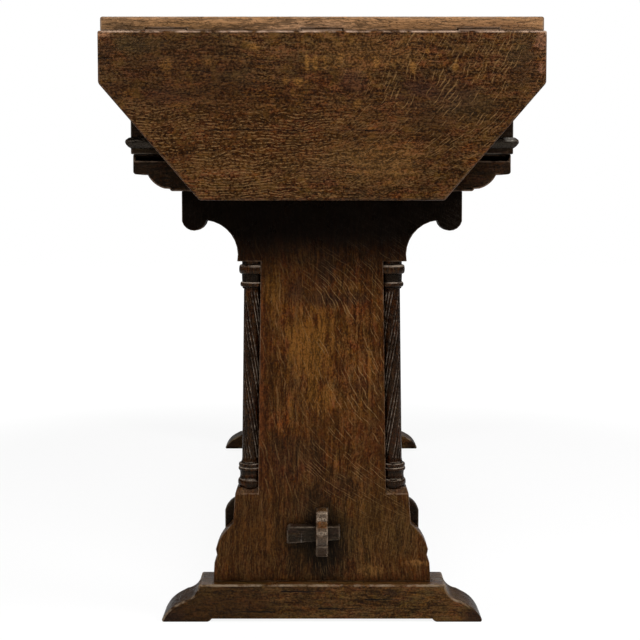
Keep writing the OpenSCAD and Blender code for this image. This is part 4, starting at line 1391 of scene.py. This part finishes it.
@dataclass
class Stretcher:
    """The stretcher with its shaped tenons, and the two keys.

    Attributes:
        boards: Makes the worn copies.
        arris: Width of the rounding of the stretcher.
        key_arris: Width of the rounding of a key.
        oak: The finish of the stretcher, which the keys share but for their colours.
        key_notch: The pale saw line across a key.
    """

    boards: Boards
    arris: float = 0.0018
    key_arris: float = 0.0020
    oak: Oak = Oak(
        "stretcher oak", Grain.ALONG, (0.014, 0.0055, 0.0016), (0.046, 0.0195, 0.0062), (0.090, 0.045, 0.018),
        rays=Rays.SCATTERED, ray=(0.120, 0.068, 0.034), ray_amount=0.3, gold_amount=0.2, gold=(0.09, 0.040, 0.010),
        worn=(0.21, 0.155, 0.110), wear=0.5, roughness=0.28, gloss=0.40, end_grain=(0.044, 0.028, 0.018),
    )
    key_notch: Patch = Patch(-0.0262, 0.098, 0.0011, 0.016, (0.10, 0.085, 0.075), 0.7, 1.0)

    def build(self) -> None:
        """Makes the stretcher and the keys."""
        self.boards.board("stretcher", self.oak, "stretcher_oak", self.arris)
        for end in End:
            oak = replace(
                self.oak, name=f"{end.word} key oak", grain=Grain.ACROSS, seed=41.0 + end.value,
                dark=(0.004, 0.0025, 0.0014), mid=(0.012, 0.0072, 0.0045), light=(0.028, 0.018, 0.0115),
                end_grain=None, rays=Rays.NONE, gold_amount=0.05, wear=0.22, gloss=0.15, patches=(self.key_notch,),
            )
            self.boards.board(f"{end.word}_key", oak, "stretcher_oak", self.key_arris)


@dataclass
class Columns:
    """The four turned columns, each with an incised spiral.

    Attributes:
        boards: Puts each column in its node's place.
        head_x: Distance from the middle of the table to a column's axis, under the head.
        middle_y: Distance from the middle of the table to the columns' plane.
        foot_z: Height of a column's lower shoulder.
        length: Length of a column between its shoulders.
        lean: Lean of a column, in degrees.
        seat: Distance from the axis to the flat seat on the panel's edge.
        sides: Faces round a column.
        step: Height of a ring of faces on the shaft.
        carved_from: Height where the spiral lines start.
        carved_to: Distance below the upper shoulder where they end.
        pitch: Height in which a spiral line goes once round.
        starts: Number of groups of lines.
        lines: Places of the lines in a group, in degrees.
        cut: Depth of a line.
        cut_width: Width of a line, in degrees.
        ridge_width: Width of the rubbed ridge beside a line, in degrees.
        ridge_wear: How strongly that ridge is rubbed.
        shaft: Radius of the shaft.
        neck: Radius between the rings.
        ring: Radius of the upper ring.
        low_ring: Radius of the other rings.
        groove: Half the height of the groove beside a ring, where shade is painted dark.
        smooth: Edges that turn by less than this, in degrees, are shaded round.
        oak: The finish.
    """

    boards: Boards
    head_x: float = 0.0885
    middle_y: float = 0.545
    foot_z: float = 0.170
    length: float = 0.291
    lean: float = 0.8
    seat: float = 0.0107
    sides: int = 120
    step: float = 0.002
    carved_from: float = 0.039
    carved_to: float = 0.038
    pitch: float = 0.320
    starts: int = 4
    lines: tuple[float, ...] = (0.0, 21.0, 42.0)
    cut: float = 0.0008
    cut_width: float = 4.5
    ridge_width: float = 4.0
    ridge_wear: float = 0.8
    shaft: float = 0.011
    neck: float = 0.0137
    ring: float = 0.0175
    low_ring: float = 0.0156
    groove: float = 0.0007
    smooth: float = 50.0
    # The greyish worn colour also gives the painted highlights on the rings' upper sides.
    oak: Oak = Oak(
        "column oak", Grain.UPRIGHT, (0.003, 0.0009, 0.0002), (0.0105, 0.0033, 0.0007), (0.034, 0.0140, 0.0045),
        gold_amount=0.1, gold=(0.05, 0.022, 0.006), worn=(0.185, 0.142, 0.108), wear=1.0, grime=0.9, reach=0.004,
        relief=0.0005, roughness=0.24, gloss=0.17,
    )

    def outline(self) -> list[tuple[float, float]]:
        """Returns radius and height of the turned profile, from the lower shoulder upwards."""
        top = self.length
        points = [(self.neck, 0.0), (self.neck + 0.0006, 0.0008)]
        points += self.bulge(self.neck + 0.0007, self.low_ring + 0.0004, 0.0012, 0.0100)
        points += [(self.neck, 0.0106), (self.neck - 0.0005, 0.0155), (self.neck, 0.0206)]
        points += self.bulge(self.neck + 0.0008, self.low_ring, 0.0210, 0.0254)
        points += self.bulge(self.neck + 0.0007, self.low_ring - 0.0004, 0.0258, 0.0302)
        points += [(self.shaft + 0.0014, 0.0310), (self.shaft + 0.0005, 0.0335), (self.shaft, 0.0370)]
        height = 0.0370 + self.step
        while height < top - 0.0352:
            points.append((self.shaft, height))
            height += self.step
        collar = self.shaft + 0.0018
        points += [(self.shaft, top - 0.0350), (collar, top - 0.0350), (collar, top - 0.0332)]
        points += self.bulge(self.neck + 0.0005, self.low_ring, top - 0.0328, top - 0.0268)
        points += [(self.neck - 0.0003, top - 0.0264), (self.neck + 0.0002, top - 0.0166)]
        points += self.bulge(self.ring - 0.0016, self.ring, top - 0.0160, top - 0.0050)
        return points + [(self.neck, top - 0.0044), (self.neck, top)]

    @staticmethod
    def bulge(rim: float, crown: float, low: float, high: float, steps: int = 7) -> list[tuple[float, float]]:
        """Returns the profile of a half-round ring.

        Args:
            rim: Radius where the ring starts and ends.
            crown: Largest radius.
            low: Height of its lower side.
            high: Height of its upper side.
            steps: Number of points.

        Returns:
            Radius and height of each point.
        """
        middle, half = (low + high) / 2, (high - low) / 2
        turns = [math.pi * (i / (steps - 1) - 0.5) for i in range(steps)]
        return [(rim + (crown - rim) * math.cos(turn), middle + half * math.sin(turn)) for turn in turns]

    def turn(self) -> bpy.types.Object:
        """Turns one column about the Z axis, ring by ring, as on a lathe.

        Returns:
            The column, standing on the origin.
        """
        outline = self.outline()
        radius, height = outline[0]
        bpy.ops.mesh.primitive_circle_add(vertices=self.sides, radius=radius, location=(0, 0, 0), fill_type="NGON")
        column = bpy.context.view_layer.objects.active
        with editing(column):
            bpy.ops.mesh.select_all(action="SELECT")
            for wider, higher in outline[1:]:
                bpy.ops.mesh.extrude_region_move(TRANSFORM_OT_translate={"value": (0, 0, higher - height)})
                share = wider / radius
                bpy.ops.transform.resize(value=(share, share, 1), center_override=(0, 0, higher))
                radius, height = wider, higher
            put_in_order(column)
            bpy.ops.mesh.select_all(action="SELECT")
            bpy.ops.mesh.normals_make_consistent(inside=False)
        return column

    def past_line(self, vertex: bmesh.types.BMVert) -> float:
        """Returns how far round a vertex of the shaft lies past the last incised line, in degrees."""
        if not self.carved_from < vertex.co.z < self.length - self.carved_to:
            return 180.0
        around = math.degrees(math.atan2(vertex.co.y, vertex.co.x))
        phase = (around + 360.0 * vertex.co.z / self.pitch) % (360.0 / self.starts)
        return min((phase - line) % (360.0 / self.starts) for line in self.lines)

    def on_crown(self, vertex: bmesh.types.BMVert) -> bool:
        """Says whether a vertex lies on the upper side of a ring, where a highlight is painted; the band is wider on
        the upper ring.
        """
        steepest = 0.30 if vertex.co.z > self.length - 0.0165 else 0.60
        return math.hypot(vertex.co.x, vertex.co.y) > self.neck + 0.0005 and steepest < vertex.normal.z < 0.92

    def in_groove(self, vertex: bmesh.types.BMVert) -> bool:
        """Says whether a vertex lies in a groove beside a ring, where shade is painted dark."""
        up, down = vertex.co.z, self.length - vertex.co.z
        gaps = [up - place for place in (0.0106, 0.0208, 0.0256, 0.0308)]
        gaps += [down - place for place in (0.0047, 0.0163, 0.0266, 0.0330)]
        return min(abs(gap) for gap in gaps) < self.groove

    def carve(self, column: bpy.types.Object) -> None:
        """Cuts the spiral lines into the shaft and the flat seat into its side.

        Args:
            column: The turned column on the origin.
        """
        ridge_end = self.cut_width + self.ridge_width
        with editing(column, "VERT"):
            pick(column, "verts", lambda vertex: self.past_line(vertex) < self.cut_width)
            bpy.ops.transform.shrink_fatten(value=-self.cut)
            mark(column, "verts", "cut", lambda vertex: True)
            bpy.ops.mesh.select_all(action="SELECT")
            mark(
                column, "verts", "arris",
                lambda vertex: self.cut_width <= self.past_line(vertex) < ridge_end, self.ridge_wear,
            )
            # Painted highlight: the rings' upper sides take the arris mark, so they show the pale worn colour as if
            # lit from above.
            mark(column, "verts", "arris", self.on_crown)
            # Painted shade: the grooves beside the rings take the dark cut mark.
            mark(column, "verts", "cut", self.in_groove)
            bpy.ops.mesh.bisect(
                plane_co=(self.seat, 0, 0), plane_no=(1, 0, 0), use_fill=True, clear_outer=True, clear_inner=False
            )

    def build(self) -> None:
        """Makes the four columns."""
        first = self.turn()
        self.carve(first)
        for end in End:
            for side, word in ((-1, "left"), (1, "right")):
                select_only(first)
                bpy.ops.object.duplicate()
                column = bpy.context.view_layer.objects.active
                node = f"{end.word}_{word}_column"
                column.name = node + "_carved"
                lean = math.radians(self.lean)
                lift = self.foot_z + self.length - self.length * math.cos(lean)
                foot_x = self.head_x + self.length * math.sin(lean)
                column.matrix_world = (
                    Matrix.Translation((side * foot_x, end.value * self.middle_y, lift))
                    @ Matrix.Rotation(-side * lean, 4, "Y")
                    @ Matrix.Diagonal((-side, -end.value, 1, 1))
                )
                settle(column)
                with editing(column, "FACE"):
                    bpy.ops.mesh.select_all(action="SELECT")
                    bpy.ops.mesh.normals_make_consistent(inside=False)
                select_only(column)
                bpy.ops.object.shade_smooth_by_angle(angle=math.radians(self.smooth))
                oak = replace(self.oak, name=f"{end.word} {word} column oak", seed=50.0 + 3 * end.value + side)
                self.boards.stand_for(column, node, OakShader(oak).material(), "column_oak")
        bpy.data.objects.remove(first)


@dataclass
class Ironwork:
    """Hinges, stays, lugs, plates and screws, which keep their CAD shapes.

    Attributes:
        nodes: The CAD nodes by name.
        forged: The finish of the stays, lugs and plates.
        hinge: The finish of the hinges, browned by the wood's wax.
        screw: The finish of the screws.
    """

    nodes: dict[str, bpy.types.Object]
    forged: Iron = Iron("forged iron")
    hinge: Iron = Iron("hinge iron", dark=(0.085, 0.045, 0.022), rust=(0.120, 0.060, 0.026), metal=0.15)
    screw: Iron = Iron("screw iron", dark=(0.040, 0.037, 0.034), rust_amount=0.5, roughness=0.5)

    def build(self) -> None:
        """Gives each iron node its finish."""
        for name, node in self.nodes.items():
            if node.hide_render:
                continue
            finish = self.forged
            if "flaps" in name or "pins" in name:
                finish = self.hinge
            if "screw" in name:
                finish = self.screw
            node.data.materials.clear()
            node.data.materials.append(IronShader(finish).material())
            log.info("%s keeps its shape, in %s", name, finish.name)


@dataclass(frozen=True)
class Lamp:
    """A soft rectangular lamp.

    Attributes:
        name: Its name.
        place: Where it stands.
        aim: Where it points.
        wide: Its width.
        high: Its height.
        watts: Its power.
    """

    name: str
    place: Point
    aim: Point
    wide: float
    high: float
    watts: float


@dataclass
class Studio:
    """Camera, floor and soft lights.

    Attributes:
        eye: Where the camera stands.
        tilt: How far the camera looks down, in degrees.
        lens: Focal length for a 36 mm sensor, in millimetres.
        shift: The lens's rise, as a share of the picture.
        floor_size: Side of the floor.
        fill: Strength of the soft light from all round.
        lamps: The lamps.
    """

    eye: Point = (-0.0025, -2.154, 0.549)
    tilt: float = 3.492
    lens: float = 70.79
    shift: float = -0.08
    floor_size: float = 14.0
    fill: float = 0.08
    lamps: tuple[Lamp, ...] = (
        Lamp("key light", (0.15, -2.7, 2.2), (0.0, -0.58, 0.42), 3.2, 1.2, 96.0),
        Lamp("left light", (-2.3, -1.1, 2.1), (-0.1, -0.4, 0.5), 0.9, 1.6, 30.0),
        Lamp("right light", (2.3, -1.1, 2.1), (0.1, -0.4, 0.5), 0.9, 1.6, 54.0),
        Lamp("back light", (0.0, 2.9, 2.0), (0.0, 0.0, 0.4), 2.6, 1.6, 42.0),
    )

    def build(self) -> None:
        """Sets up the camera, the floor, the lights and the world."""
        self.camera()
        self.floor()
        for lamp in self.lamps:
            self.light(lamp)
        self.world()
        bpy.context.scene.view_settings.view_transform = "Standard"

    def camera(self) -> None:
        """Stands the camera where the photograph was taken."""
        data = bpy.data.cameras.new("camera")
        data.sensor_width = 36.0
        data.lens = self.lens
        data.shift_y = self.shift
        data.clip_start, data.clip_end = 0.05, 60.0
        camera = bpy.data.objects.new("camera", data)
        camera.location = self.eye
        camera.rotation_euler = (math.radians(90.0 - self.tilt), 0.0, 0.0)
        bpy.context.scene.collection.objects.link(camera)
        bpy.context.scene.camera = camera

    @staticmethod
    def light(lamp: Lamp) -> None:
        """Adds one lamp to the scene."""
        data = bpy.data.lights.new(lamp.name, "AREA")
        data.shape = "RECTANGLE"
        data.size, data.size_y, data.energy = lamp.wide, lamp.high, lamp.watts
        light = bpy.data.objects.new(lamp.name, data)
        light.location = lamp.place
        light.rotation_euler = (Vector(lamp.aim) - Vector(lamp.place)).to_track_quat("-Z", "Y").to_euler()
        bpy.context.scene.collection.objects.link(light)

    def floor(self) -> None:
        """Adds the pale floor, which shows white to the camera and keeps the shadow."""
        bpy.ops.mesh.primitive_plane_add(size=self.floor_size, location=(0, 0, 0))
        floor = bpy.context.view_layer.objects.active
        floor.name = "floor"
        material = bpy.data.materials.new("pale floor")
        material.use_nodes = True
        graph = Graph(material.node_tree)
        material.node_tree.nodes.remove(material.node_tree.nodes["Principled BSDF"])
        matt = graph.add("BsdfDiffuse", {"Color": (0.60, 0.60, 0.60)})
        glow = graph.add("Emission", {"Color": (1.0, 1.0, 1.0), "Strength": 1.08})
        here = graph.add("TexCoord").outputs["Object"]
        away = graph.add("VectorMath", {0: here}, operation="LENGTH").outputs["Value"]
        share = graph.band(away, 0.8, 1.6, 0.8, 1.0)
        share = graph.math("MULTIPLY", share, graph.add("LightPath").outputs["Is Camera Ray"])
        both = graph.add("MixShader", {0: share, 1: matt.outputs[0], 2: glow.outputs[0]})
        graph.feed(material.node_tree.nodes["Material Output"].inputs[0], both.outputs[0])
        floor.data.materials.append(material)

    def world(self) -> None:
        """Fills the room with soft light, and shows white behind the table."""
        world = bpy.data.worlds.new("studio")
        world.use_nodes = True
        bpy.context.scene.world = world
        graph = Graph(world.node_tree)
        level = graph.band(graph.add("LightPath").outputs["Is Camera Ray"], 0.0, 1.0, self.fill, 1.0)
        back = world.node_tree.nodes["Background"]
        graph.feed(back.inputs["Color"], (1.0, 1.0, 1.0))
        graph.feed(back.inputs["Strength"], level)


def main() -> None:
    """Builds every sub-assembly."""
    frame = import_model()
    bodies = {node: body for body, members in frame["record"]["behaviour"]["bodies"].items() for node in members}
    boards = Boards(frame["nodes"], bodies)
    for part in (
        Top(boards), Leaves(boards), Frieze(boards), Trestles(boards), Stretcher(boards), Columns(boards),
        Ironwork(frame["nodes"]), Studio(),
    ):
        part.build()
        log.info("%s is done", type(part).__name__)


if __name__ == "__main__":
    main()
